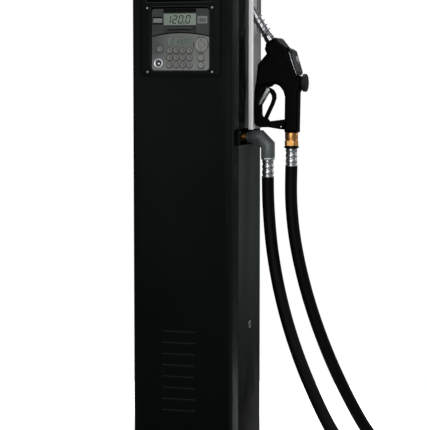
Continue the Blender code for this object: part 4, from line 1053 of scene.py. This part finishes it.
plate("lcd_small_frame", -0.0415, 0.0339, 1.2735, 1.2965, 0.0012, -0.1548, -0.1543, COVER_PLASTIC, "dark_plastic")
plate("lcd_small", -0.0401, 0.0325, 1.2747, 1.2953, 0.0006, -0.15495, -0.1543, LCD, "lcd_green", 0.0001)
segments("lcd_small_figures", "0100.0", -0.0285, 1.2790, 0.0118, 0.0110, -0.15512, DIGIT, 0.11)
# printed bars over the side keys
prints = [(-0.0750, -0.0510, 1.2744, 1.2754), (0.0485, 0.0715, 1.2496, 1.2504), (0.0545, 0.0655, 1.22765, 1.22815), (0.0500, 0.0700, 1.2070, 1.2077)]
printed = to_object("printed_bars", [box(x0, x1, -0.15462, -0.1544, z0, z1) for x0, x1, z0, z1 in prints])
piece(printed, INK, "door", slot="bezel_black")


def figure(name, text, x, z, y, size, body):
    data = bpy.data.curves.new(name, "FONT")
    data.body, data.size, data.extrude = text, size, 0.00006
    data.align_x, data.align_y = "CENTER", "CENTER"
    data.resolution_u = 3
    obj = link(bpy.data.objects.new(name, data))
    dg = bpy.context.evaluated_depsgraph_get()
    mesh = bpy.data.meshes.new_from_object(obj.evaluated_get(dg), depsgraph=dg)
    bpy.data.objects.remove(obj, do_unlink=True)
    for v in mesh.vertices:
        a, b, c = v.co
        v.co = (x + a, y - c, z + b)
    bm = bmesh.new()
    bm.from_mesh(mesh)
    bmesh.ops.remove_doubles(bm, verts=bm.verts[:], dist=0.000001)
    bmesh.ops.recalc_face_normals(bm, faces=bm.faces[:])
    bm.to_mesh(mesh)
    bm.free()
    mesh.materials.clear()
    obj = link(bpy.data.objects.new(name, mesh))
    return piece(obj, FAINT, body, slot="bezel_black")


def key_cap(name, x, z, r, body, node):
    """A soft-edged key, its top slightly dished."""
    profile = [(r, 0.0), (r, 0.0033), (r - 0.00025, 0.0040), (r - 0.0008, 0.0044), (r - 0.0016, 0.00455), (r * 0.62, 0.0042), (r * 0.30, 0.0040), (0.0004, 0.0039)]
    cap = to_object(name, [lathe(profile, (x, BACK, z), (0, -1, 0), 40)])
    shade(cap, 50)
    return piece(cap, KEY, body, node, slot="fascia_grey")


faces = ["1", "2", "3", "", "4", "5", "6", "", "7", "8", "9", "0"]
number = 1
for z in KEY_ROWS:
    for x in KEY_COLUMNS:
        body = f"b_key_{number:02d}"
        key_cap(f"key_cap_{number:02d}", x, z, KEY_R, body, f"key_{number:02d}")
        if faces[number - 1]:
            figure(f"key_figure_{number:02d}", faces[number - 1], x, z, BACK - 0.00408, 0.0085, body)
        else:
            way = 1 if number == 4 else -1
            tri = to_object(f"key_figure_{number:02d}", [prism_y([(x - 0.0022, z - 0.0014 * way), (x + 0.0022, z - 0.0014 * way), (x, z + 0.0022 * way)], BACK - 0.00425, BACK - 0.0038)])
            piece(tri, FAINT, body, slot="bezel_black")
        number += 1
for name, (x, z) in SIDE_KEYS.items():
    key_cap(f"{name}_cap", x, z, SIDE_R, f"b_{name}", name)

r = NAV[2]
nav = to_object("nav_ring", [lathe([(r, 0.0), (r, 0.0034), (r - 0.0005, 0.0043), (r - 0.0016, 0.0047), (r - 0.0050, 0.0046), (0.0105, 0.0040), (0.0092, 0.0034), (0.0086, 0.0034), (0.0080, 0.0042), (0.0060, 0.0046), (0.0020, 0.0047), (0.0004, 0.0047)], (NAV[0], BACK, NAV[1]), (0, -1, 0), 72)])
shade(nav, 45)
piece(nav, KEY, "b_nav_pad", "nav_pad", slot="fascia_grey")
dots = []
for a in (0, 90, 180, 270):
    ca, sa = math.cos(math.radians(a)), math.sin(math.radians(a))
    cx, cz = NAV[0] + 0.0148 * ca, NAV[1] + 0.0148 * sa
    tip = [(0.0018, 0.0), (-0.0010, 0.0017), (-0.0010, -0.0017)]
    dots.append(prism_y([(cx + p * ca - q * sa, cz + p * sa + q * ca) for p, q in tip], BACK - 0.00490, BACK - 0.0043))
dots.append(lathe([(0.0013, 0.0), (0.0011, 0.0003), (0.0003, 0.0004)], (NAV[0], BACK - 0.0046, NAV[1]), (0, -1, 0), 20))
dots = to_object("nav_marks", dots)
piece(dots, INK, "b_nav_pad", slot="bezel_black")

rx, rz, rr = READER
reader = to_object("reader_ring", [lathe([(rr, 0.0), (rr, 0.0050), (rr - 0.0003, 0.0058), (rr - 0.0012, 0.0066), (rr - 0.0024, 0.0069), (0.0095, 0.0068), (0.0086, 0.0062), (0.0080, 0.0045), (0.0072, 0.0038), (0.0050, 0.0036), (0.0004, 0.0036)], (rx, -0.1502, rz), (0, -1, 0), 64)])
shade(reader, 40)
piece(reader, FERRULE, "door", "key_reader", slot="stainless")
pad = to_object("reader_well", [lathe([(0.0078, 0.0), (0.0076, 0.0006), (0.0060, 0.0009), (0.0004, 0.0009)], (rx, -0.1537, rz), (0, -1, 0), 40)])
shade(pad, 40)
piece(pad, INK, "door", slot="bezel_black")
contact = to_object("reader_contact", [lathe([(0.0042, 0.0), (0.0042, 0.0008), (0.0036, 0.0014), (0.0020, 0.0017), (0.0004, 0.0018)], (rx + 0.0004, -0.1543, rz - 0.0006), (0, -1, 0), 36)])
shade(contact, 40)
piece(contact, CHROME, "door", slot="chrome")

# ==================================================================== nozzle
NY = NOZZLE_Y
NOZZLE_OUTLINE = [
    (201.0, 1283.4), (193.5, 1266.0), (200.0, 1251.4), (173.0, 1221.0), (168.5, 1176.0),
    (167.0, 1158.4), (188.0, 1158.4), (211.5, 1159.5), (225.3, 1163.8), (240.0, 1157.0),
    (250.5, 1143.0), (255.5, 1127.0), (255.0, 1087.6), (254.2, 1022.2), (294.5, 1022.2),
    (296.5, 1139.0), (303.5, 1150.0), (303.5, 1184.0), (297.0, 1188.0), (291.6, 1188.4),
    (267.9, 1254.9), (266.3, 1268.0), (262.0, 1271.0), (225.3, 1298.7),
]
COVER_OUTLINE = [
    (267.1, 1268.3), (283.2, 1259.3), (302.3, 1196.0), (298.0, 1188.9), (292.3, 1189.0), (268.7, 1255.2),
]
GUARD_OUTLINE = [
    (167.5, 1157.9), (164.5, 1150.0), (160.7, 1122.0), (159.8, 1087.0), (160.7, 1050.0), (166.0, 1041.5),
    (181.0, 1035.9), (203.0, 1037.0), (237.5, 1031.5), (253.4, 1030.4), (253.4, 1060.6), (230.0, 1057.6),
    (206.0, 1054.5), (200.0, 1062.0), (185.5, 1068.0), (182.4, 1075.0), (182.4, 1146.0), (180.0, 1157.9),
]
LEVER_OUTLINE = [
    (195.5, 1152.6), (208.0, 1152.4), (218.5, 1146.0), (225.5, 1135.0), (226.0, 1122.0), (221.0, 1106.0),
    (211.0, 1085.0), (201.0, 1063.0), (196.8, 1054.5), (194.0, 1050.8), (188.0, 1050.8), (185.2, 1056.0),
    (187.0, 1061.0), (190.5, 1067.0), (200.0, 1087.0), (210.0, 1108.0), (214.0, 1120.0), (213.0, 1130.0),
    (207.5, 1138.0), (200.0, 1141.0), (194.5, 1143.0),
]


def metres(points):
    return [(x * MM, z * MM) for x, z in points]


def pillow(points, half, radius, steps=5):
    rings = []
    for k in range(steps + 1):
        turn = math.pi / 2 * (1 - k / steps)
        y = half - radius + radius * math.sin(turn)
        rings.append((NY - y, inset(points, radius * (1 - math.cos(turn)))))
    rings += [(2 * NY - y, ring) for y, ring in reversed(rings)]
    return loft([[(x, y, z) for x, z in ring] for y, ring in rings])


body = to_object("nozzle_shell", [pillow(metres(NOZZLE_OUTLINE), 0.0205, 0.0075)])
boolean(body, "UNION", [
    # round collar that takes the spout, and the bead round the grip's lower end
    lathe([(0.0190, -0.0220), (0.0200, -0.0080), (0.0200, -0.0030), (0.0185, -0.0008), (0.0150, 0.0)], (0.2085, NY, 1.2885), (-math.sin(math.radians(32.2)), 0, math.cos(math.radians(32.2))), 48),
])
# the grip is rounder than the body: trim its four long edges
trims = []
for side in (-1, 1):
    for cx, sgn in ((0.2542, -1), (0.2962, 1)):
        y0 = NY + side * 0.0205
        trims.append(loft([[(cx + sgn * 0.004, y0 + side * 0.004, z), (cx + sgn * 0.004, y0 - side * 0.0090, z), (cx - sgn * 0.0075, y0 + side * 0.004, z)] for z in (1.015, 1.1350)]))
boolean(body, "DIFFERENCE", trims)
melt(body, 0.0012, 9, 0.5)
shade(body, 60)
piece(body, NOZZLE, "nozzle", "nozzle_body", slot="nozzle_black")

# grip ribs on both cheeks of the handle, low and rounded
ribs = []
for side in (-1, 1):
    for k in range(7):
        z = 1.0420 + 0.0115 * k
        y = NY + side * 0.0201
        line = [(0.2645 + 0.0224 * t, 0.0011 * math.sin(math.pi * t)) for t in (0, 0.08, 0.2, 0.35, 0.5, 0.65, 0.8, 0.92, 1)]
        ribs.append(loft([[(x, y - side * 0.0016, z - 0.0020), (x, y + side * (0.0002 + 0.5 * h), z - 0.0015), (x, y + side * (0.0003 + 0.8 * h), z), (x, y + side * (0.0002 + 0.5 * h), z + 0.0015), (x, y - side * 0.0016, z + 0.0020)] for x, h in line]))
grip = to_object("grip_ribs", ribs)
shade(grip, 60)
piece(grip, NOZZLE, "nozzle", slot="nozzle_black")

cover = to_object("valve_cover", [pillow(round_off(metres(COVER_OUTLINE), 0.0050, 5), 0.0195, 0.0034, 6)])
shade(cover, 40)
piece(cover, NOZZLE_COVER, "nozzle", "nozzle_cover", slot="dark_plastic")
for side, label in ((-1, "front"), (1, "back")):
    y = NY + side * 0.0195
    screw(f"cover_screw_{label}_1", (0.2766, y, 1.2555), (0, side, 0), 0.0026, "nozzle", BEZEL)
    screw(f"cover_screw_{label}_2", (0.2962, y, 1.1985), (0, side, 0), 0.0026, "nozzle", BEZEL)
    # painted highlight: a bright bead in the joint between the cover and the shell stands for the highlight on the
    # cover's rounded edge
    bead = smooth_route([(0.2688, NY + side * 0.0180, 1.2566), (0.2716, NY + side * 0.0186, 1.2470), (0.2792, NY + side * 0.0188, 1.2240), (0.2864, NY + side * 0.0188, 1.2037), (0.2912, NY + side * 0.0182, 1.1912)], 0.0020)
    highlight_bead = to_object(f"cover_bead_{label}", [sweep(bead, 0.0010, 10)])
    shade(highlight_bead, 60)
    piece(highlight_bead, FERRULE, "nozzle", slot="chrome")
# two plain plates on the cover's outer edge
spine_a, spine_b = Vector((0.2832, 0, 1.2593)), Vector((0.3023, 0, 1.1960))
out_of = Vector((0.9574, 0, 0.2887))
for name, t0, t1, half, mat in (("spine_plate", 0.24, 0.50, 0.0148, NOZZLE_LABEL), ("spine_plate_small", 0.545, 0.600, 0.0140, LABEL)):
    rings = []
    for lift, shrink in ((-0.0004, 0.0), (0.0003, 0.0), (0.0005, 0.0003)):
        a, b = spine_a.lerp(spine_b, t0) + out_of * lift, spine_a.lerp(spine_b, t1) + out_of * lift
        step = (b - a).normalized() * shrink
        a, b = a + step, b - step
        rings.append([(a.x, NY - half + shrink, a.z), (a.x, NY + half - shrink, a.z), (b.x, NY + half - shrink, b.z), (b.x, NY - half + shrink, b.z)])
    tag = to_object(name, [loft(rings)])
    shade(tag, 30)
    piece(tag, mat, "nozzle", slot="stainless")
# rounded crown where the spout's clamp sits, in a paler grey that paints the highlight on the body's upper edge
CROWN_OUTLINE = [
    (228.0, 1296.0), (232.1, 1297.2), (237.4, 1296.8), (243.7, 1293.3), (254.3, 1280.0), (261.7, 1270.4), (262.6, 1267.0),
    (257.0, 1265.0), (243.8, 1275.0), (231.0, 1286.0),
]
crown = to_object("shell_crown", [pillow(metres(CROWN_OUTLINE), 0.0188, 0.0030, 4)])
melt(crown, 0.0008, 5, 0.5)
shade(crown, 60)
piece(crown, NOZZLE_CROWN_HIGHLIGHT, "nozzle", slot="dark_plastic")

# knurled cap at the back of the valve
cap = to_object("knurled_cap", [lathe(
    [(0.0178, 0.0), (0.0182, 0.0006), (0.0182, 0.0018), (0.0240, 0.0032), (0.0256, 0.0040), (0.0262, 0.0052), (0.0262, 0.0116),
     (0.0254, 0.0132), (0.0240, 0.0142), (0.0205, 0.0146), (0.0185, 0.0142), (0.0172, 0.0150), (0.0120, 0.0160), (0.0008, 0.0163)],
    (0.3039, NY, 1.1670), (1, 0, 0), 144,
    wave=lambda a, r, h: r * (1 - 0.016 * max(0.0, math.cos(18 * a)) ** 2) if 0.0036 < h < 0.0135 and r > 0.0235 else r)])
shade(cap, 28)
piece(cap, CAP, "nozzle", "nozzle_cap", slot="nozzle_black")

guard = to_object("guard_bow", [pillow(metres(GUARD_OUTLINE), 0.0115, 0.0036, 4)])
boolean(guard, "DIFFERENCE", [box(0.1828, 0.2066, NY - 0.0080, NY + 0.0080, 1.0470, 1.0800)])
melt(guard, 0.0009, 6, 0.5)
boolean(guard, "UNION", [rod((0.1910, NY - 0.0090, 1.0560), (0.1910, NY + 0.0090, 1.0560), 0.0024, 24)])
shade(guard, 45)
piece(guard, NOZZLE, "nozzle", "lever_guard", slot="nozzle_black")
for side, label in ((-1, "front"), (1, "back")):
    screw(f"guard_screw_{label}", (0.2435, NY + side * 0.0113, 1.0395), (0, side, 0), 0.0027, "nozzle", CHROME)
    screw(f"pivot_screw_{label}", (0.1910, NY + side * 0.0113, 1.0560), (0, side, 0), 0.0030, "nozzle", BEZEL)

# two cheeks that join the guard to the body, either side of the lever's top
CHEEK_OUTLINE = [
    (165.5, 1164.0), (217.0, 1164.0), (212.8, 1157.2), (201.1, 1152.7), (193.7, 1150.2), (189.4, 1144.4), (186.0, 1136.2), (182.4, 1129.0), (161.5, 1129.0), (162.8, 1146.0),
]
cheeks = []
for side in (-1, 1):
    cheeks.append(loft([[(x, NY + side * y, z) for x, z in inset(metres(CHEEK_OUTLINE), back)]
                        for y, back in ((0.0082, 0.0), (0.0106, 0.0), (0.0114, 0.0004), (0.0117, 0.0012))]))
cheeks = to_object("guard_cheeks", cheeks)
shade(cheeks, 45)
piece(cheeks, NOZZLE, "nozzle", slot="nozzle_black")

lever = to_object("trigger", [pillow(metres(LEVER_OUTLINE), 0.0069, 0.0024, 3)])
melt(lever, 0.0008, 4, 0.5)
boolean(lever, "DIFFERENCE", [prism_y(circle(0.1910, 1.0560, 0.0028, 24), 0.0, 0.1)])
boolean(lever, "DIFFERENCE", [prism_y(circle(0.2030, 1.1470, 0.0022, 24), 0.0, 0.1)])
shade(lever, 45)
piece(lever, NOZZLE, "lever", "trigger_lever", slot="nozzle_black")

# --------------------------------------------------------------------- spout
TILT = math.radians(32.2)
ALONG = Vector((-math.sin(TILT), 0.0, math.cos(TILT)))
SPOUT = Vector((0.2085, NY, 1.2885))
END = 0.196
spout = to_object("spout_tube", [lathe(
    [(0.0142, 0.0006), (0.0146, 0.0012), (0.0146, 0.0052), (0.0139, 0.0060), (0.0139, 0.0068), (0.0146, 0.0076), (0.0146, 0.0118), (0.0139, 0.0126),
     (0.0139, 0.0170), (0.0134, 0.0196), (0.0125, 0.0215), (0.0122, 0.0400), (0.0119, 0.1000), (0.0117, 0.1500), (0.0116, END - 0.0260),
     (0.0113, END - 0.0255), (0.0113, END - 0.0235), (0.0116, END - 0.0230), (0.0116, END - 0.0060), (0.0113, END - 0.0022), (0.0109, END - 0.0006), (0.0105, END), (0.0100, END - 0.0003), (0.0098, END - 0.0010),
     (0.0098, 0.0400), (0.0094, 0.0300)],
    tuple(SPOUT), tuple(ALONG), 64)])
_, U, W = across(ALONG)
port = SPOUT + ALONG * (END - 0.0150)
boolean(spout, "DIFFERENCE", [rod(tuple(port - U * 0.006), tuple(port - U * 0.016), 0.0020, 20)])
shade(spout, 30)
piece(spout, SPOUT_METAL, "nozzle", "nozzle_spout", slot="chrome")

# the wire spring sits off the spout's centre, out of the wall's way
wire, turns, per = [], 4.5, 44
away = Vector((math.cos(TILT), 0.0, math.sin(TILT)))
for k in range(int(turns * per) + 1):
    t = k / (turns * per)
    a = 2 * math.pi * turns * t
    ramp = min(1.0, t * 8, (1 - t) * 8)
    r = 0.0137 + 0.0008 * ramp - 0.0004 * t
    wire.append(SPOUT + ALONG * (0.0215 + 0.0680 * t) + away * (0.0016 * ramp) + (U * math.cos(a) + W * math.sin(a)) * r)
spring = to_object("spout_wire", [sweep(wire, 0.0019, 12)])
shade(spring, 60)
piece(spring, SPOUT_METAL, "nozzle", "spout_spring", slot="chrome")

# ------------------------------------------------------- swivel and ferrules
RISE_X, DROP_X = 0.2725, 0.2010


def hexed(count, reach):
    """Turns a round profile into a softened hexagon of the same reach."""
    def wave(a, r, h):
        flat = reach * math.cos(math.pi / 6)
        local = (a + math.pi / 6) % (math.pi / 3) - math.pi / 6
        return min(r, flat / math.cos(local)) if r > flat else r
    return wave


swivel = to_object("swivel_nut", [lathe(
    [(0.0150, 0.0464), (0.0184, 0.0462), (0.0192, 0.0454), (0.0192, 0.0272), (0.0188, 0.0262), (0.0176, 0.0260), (0.0176, 0.0236), (0.0190, 0.0234),
     (0.0204, 0.0228), (0.0208, 0.0218), (0.0208, 0.0100), (0.0204, 0.0090), (0.0185, 0.0084), (0.0170, 0.0083), (0.0168, 0.0070)],
    (RISE_X, NY, 0.9753), (0, 0, 1), 96, turn=0.12,
    wave=lambda a, r, h: hexed(6, 0.0210)(a, r, h) if 0.0088 < h < 0.0232 else r)])
shade(swivel, 28)
piece(swivel, BRASS, "swivel", "hose_swivel", slot="brass")
rim = to_object("swivel_rim", [lathe(
    [(0.0140, 0.0080), (0.0190, 0.0078), (0.0209, 0.0070), (0.0215, 0.0060), (0.0215, 0.0026), (0.0208, 0.0016), (0.0185, 0.0010), (0.0172, 0.0), (0.0140, 0.0)],
    (RISE_X, NY, 0.9753), (0, 0, 1), 96, wave=lambda a, r, h: r * (1 - 0.018 * max(0.0, math.cos(24 * a)) ** 2) if r > 0.0205 else r)])
shade(rim, 28)
piece(rim, BEZEL, "swivel", slot="brass")


def ferrule(name, x, top, body, node):
    bands = [(0.0150, 0.0), (0.0162, 0.0002), (0.0168, 0.0010), (0.0168, 0.0088), (0.0164, 0.0098), (0.0156, 0.0106), (0.0154, 0.0126), (0.0156, 0.0146),
             (0.0164, 0.0154), (0.0170, 0.0166), (0.0171, 0.0205), (0.0170, 0.0244), (0.0164, 0.0256), (0.0156, 0.0264), (0.0154, 0.0284), (0.0156, 0.0304),
             (0.0164, 0.0312), (0.0170, 0.0324), (0.0171, 0.0370), (0.0170, 0.0412), (0.0164, 0.0424), (0.0157, 0.0432), (0.0157, 0.0470), (0.0163, 0.0480), (0.0184, 0.0484), (0.0186, 0.0500), (0.0182, 0.0506), (0.0150, 0.0506)]
    obj = to_object(name, [lathe([(r, -h) for r, h in bands], (x, NY, top), (0, 0, 1), 72,
                                 wave=lambda a, r, h: r * (1 - 0.002 * max(0.0, math.cos(8 * a))) if r > 0.0162 and r < 0.0175 else r)])
    shade(obj, 30)
    return piece(obj, FERRULE, body, node, slot="chrome")


ferrule("crimp_outlet", DROP_X, 0.9413, "root", "outlet_ferrule")
ferrule("crimp_nozzle", RISE_X, 0.9750, "swivel", "nozzle_ferrule")

# -------------------------------------------------------------- outlet elbow
ELBOW_Z = 1.0078
path = [(0.1382, NY, ELBOW_Z), (0.1390, NY, ELBOW_Z), (0.1500, NY, ELBOW_Z), (0.1600, NY, ELBOW_Z), (0.1772, NY, ELBOW_Z), (DROP_X, NY, 0.9840), (DROP_X, NY, 0.9490), (DROP_X, NY, 0.9484), (DROP_X, NY, 0.9476)]
radii = [0.0158, 0.0166, 0.0178, 0.0203, 0.0205, 0.0205, 0.0205, 0.0202, 0.0196]
elbow = to_object("elbow_casting", [sweep(path, radii, 64)])
boolean(elbow, "UNION", [
    lathe([(0.0190, 0.0), (0.0198, 0.0010), (0.0198, 0.0032), (0.0190, 0.0042)], (0.1388, NY, ELBOW_Z), (1, 0, 0), 6, turn=0.3),
])
bevel(elbow, 0.0010, 3, 28)
shade(elbow, 32)
piece(elbow, CAST, "root", "outlet_elbow", slot="cast_grey")
collar = to_object("elbow_collar", [lathe(
    [(0.0150, 0.0), (0.0186, 0.0), (0.0198, 0.0006), (0.0202, 0.0014), (0.0202, 0.0044), (0.0198, 0.0054), (0.0186, 0.0060), (0.0150, 0.0060)],
    (DROP_X, NY, 0.9416), (0, 0, 1), 120, wave=lambda a, r, h: r * (1 - 0.022 * max(0.0, math.cos(30 * a)) ** 2) if r > 0.0196 else r)])
shade(collar, 28)
piece(collar, FERRULE, "root", slot="chrome")

# ============================================================ floor and light
floor = to_object("floor", [loft([[(1.5 * math.cos(2 * math.pi * k / 96), 1.5 * math.sin(2 * math.pi * k / 96), z) for k in range(96)] for z in (-0.06, -0.0004)])])
ground = Look("studio_floor", (0.80, 0.80, 0.80), 0.60, specular=0.3)
ground.tone(ground.noise(2.0, 3), (0.78, 0.78, 0.78), 0.4, 0.7)
ground.gloss(ground.noise(30.0, 3), 0.52, 0.68)
far = ground.n.new("ShaderNodeVectorMath")
far.operation = "LENGTH"
ground.l.new(ground.coord.outputs["Object"], far.inputs[0])
direct = ground.n.new("ShaderNodeLightPath")
ground.l.new(ground.math("MULTIPLY", ground.span(far.outputs["Value"], 0.45, 0.95, 0.0, 1.0), direct.outputs["Is Camera Ray"]), ground.s.inputs["Emission Strength"])
ground.s.inputs["Emission Color"].default_value = (1, 1, 1, 1)
floor.data.materials.append(ground.mat)

world = bpy.data.worlds.new("studio")
SCENE.world = world
world.use_nodes = True
wn, wl = world.node_tree.nodes, world.node_tree.links
wn.clear()
out, back = wn.new("ShaderNodeOutputWorld"), wn.new("ShaderNodeBackground")
coord, split = wn.new("ShaderNodeTexCoord"), wn.new("ShaderNodeSeparateXYZ")
wl.new(coord.outputs["Generated"], split.inputs[0])
ramp = wn.new("ShaderNodeValToRGB")
lift = wn.new("ShaderNodeMapRange")
for k, v in zip(("From Min", "From Max", "To Min", "To Max"), (-1.0, 1.0, 0.0, 1.0)):
    lift.inputs[k].default_value = v
wl.new(split.outputs["Z"], lift.inputs["Value"])
wl.new(lift.outputs["Result"], ramp.inputs["Fac"])
ramp.color_ramp.elements[0].position, ramp.color_ramp.elements[0].color = 0.0, (0.30, 0.30, 0.30, 1)
ramp.color_ramp.elements[1].position, ramp.color_ramp.elements[1].color = 1.0, (0.60, 0.61, 0.63, 1)
mid = ramp.color_ramp.elements.new(0.5)
mid.color = (0.085, 0.088, 0.090, 1)
seen, choose = wn.new("ShaderNodeLightPath"), wn.new("ShaderNodeMix")
choose.data_type = "RGBA"
wl.new(seen.outputs["Is Camera Ray"], choose.inputs["Factor"])
wl.new(ramp.outputs["Color"], choose.inputs[6])
choose.inputs[7].default_value = (1.0, 1.0, 1.0, 1)
wl.new(choose.outputs[2], back.inputs["Color"])
back.inputs["Strength"].default_value = 1.0
wl.new(back.outputs[0], out.inputs[0])


def softbox(name, where, at, w, h, power, tint=(1, 1, 1)):
    data = bpy.data.lights.new(name, "AREA")
    data.shape, data.size, data.size_y = "RECTANGLE", w, h
    data.energy, data.color = power, tint
    obj = link(bpy.data.objects.new(name, data))
    obj.location = where
    obj.rotation_euler = (Vector(at) - Vector(where)).to_track_quat("-Z", "Y").to_euler()
    return obj


softbox("key_light", (2.4, -3.4, 3.0), (0.15, 0.0, 1.0), 1.8, 1.8, 42)
softbox("fill_light", (-2.6, -2.8, 2.6), (0.0, 0.0, 0.9), 1.6, 2.2, 14)
softbox("front_light", (0.45, -5.7, 1.5), (0.15, 0.0, 1.1), 2.6, 3.2, 125)
softbox("side_light", (2.9, 1.9, 1.7), (0.15, 0.05, 1.1), 1.5, 2.2, 18)
softbox("top_light", (0.0, 0.6, 4.2), (0.0, 0.0, 0.0), 2.5, 2.5, 60)

SCENE.view_settings.view_transform = "Standard"
SCENE.view_settings.look = "None"
SCENE.view_settings.exposure = 0.0
SCENE.view_settings.gamma = 1.0
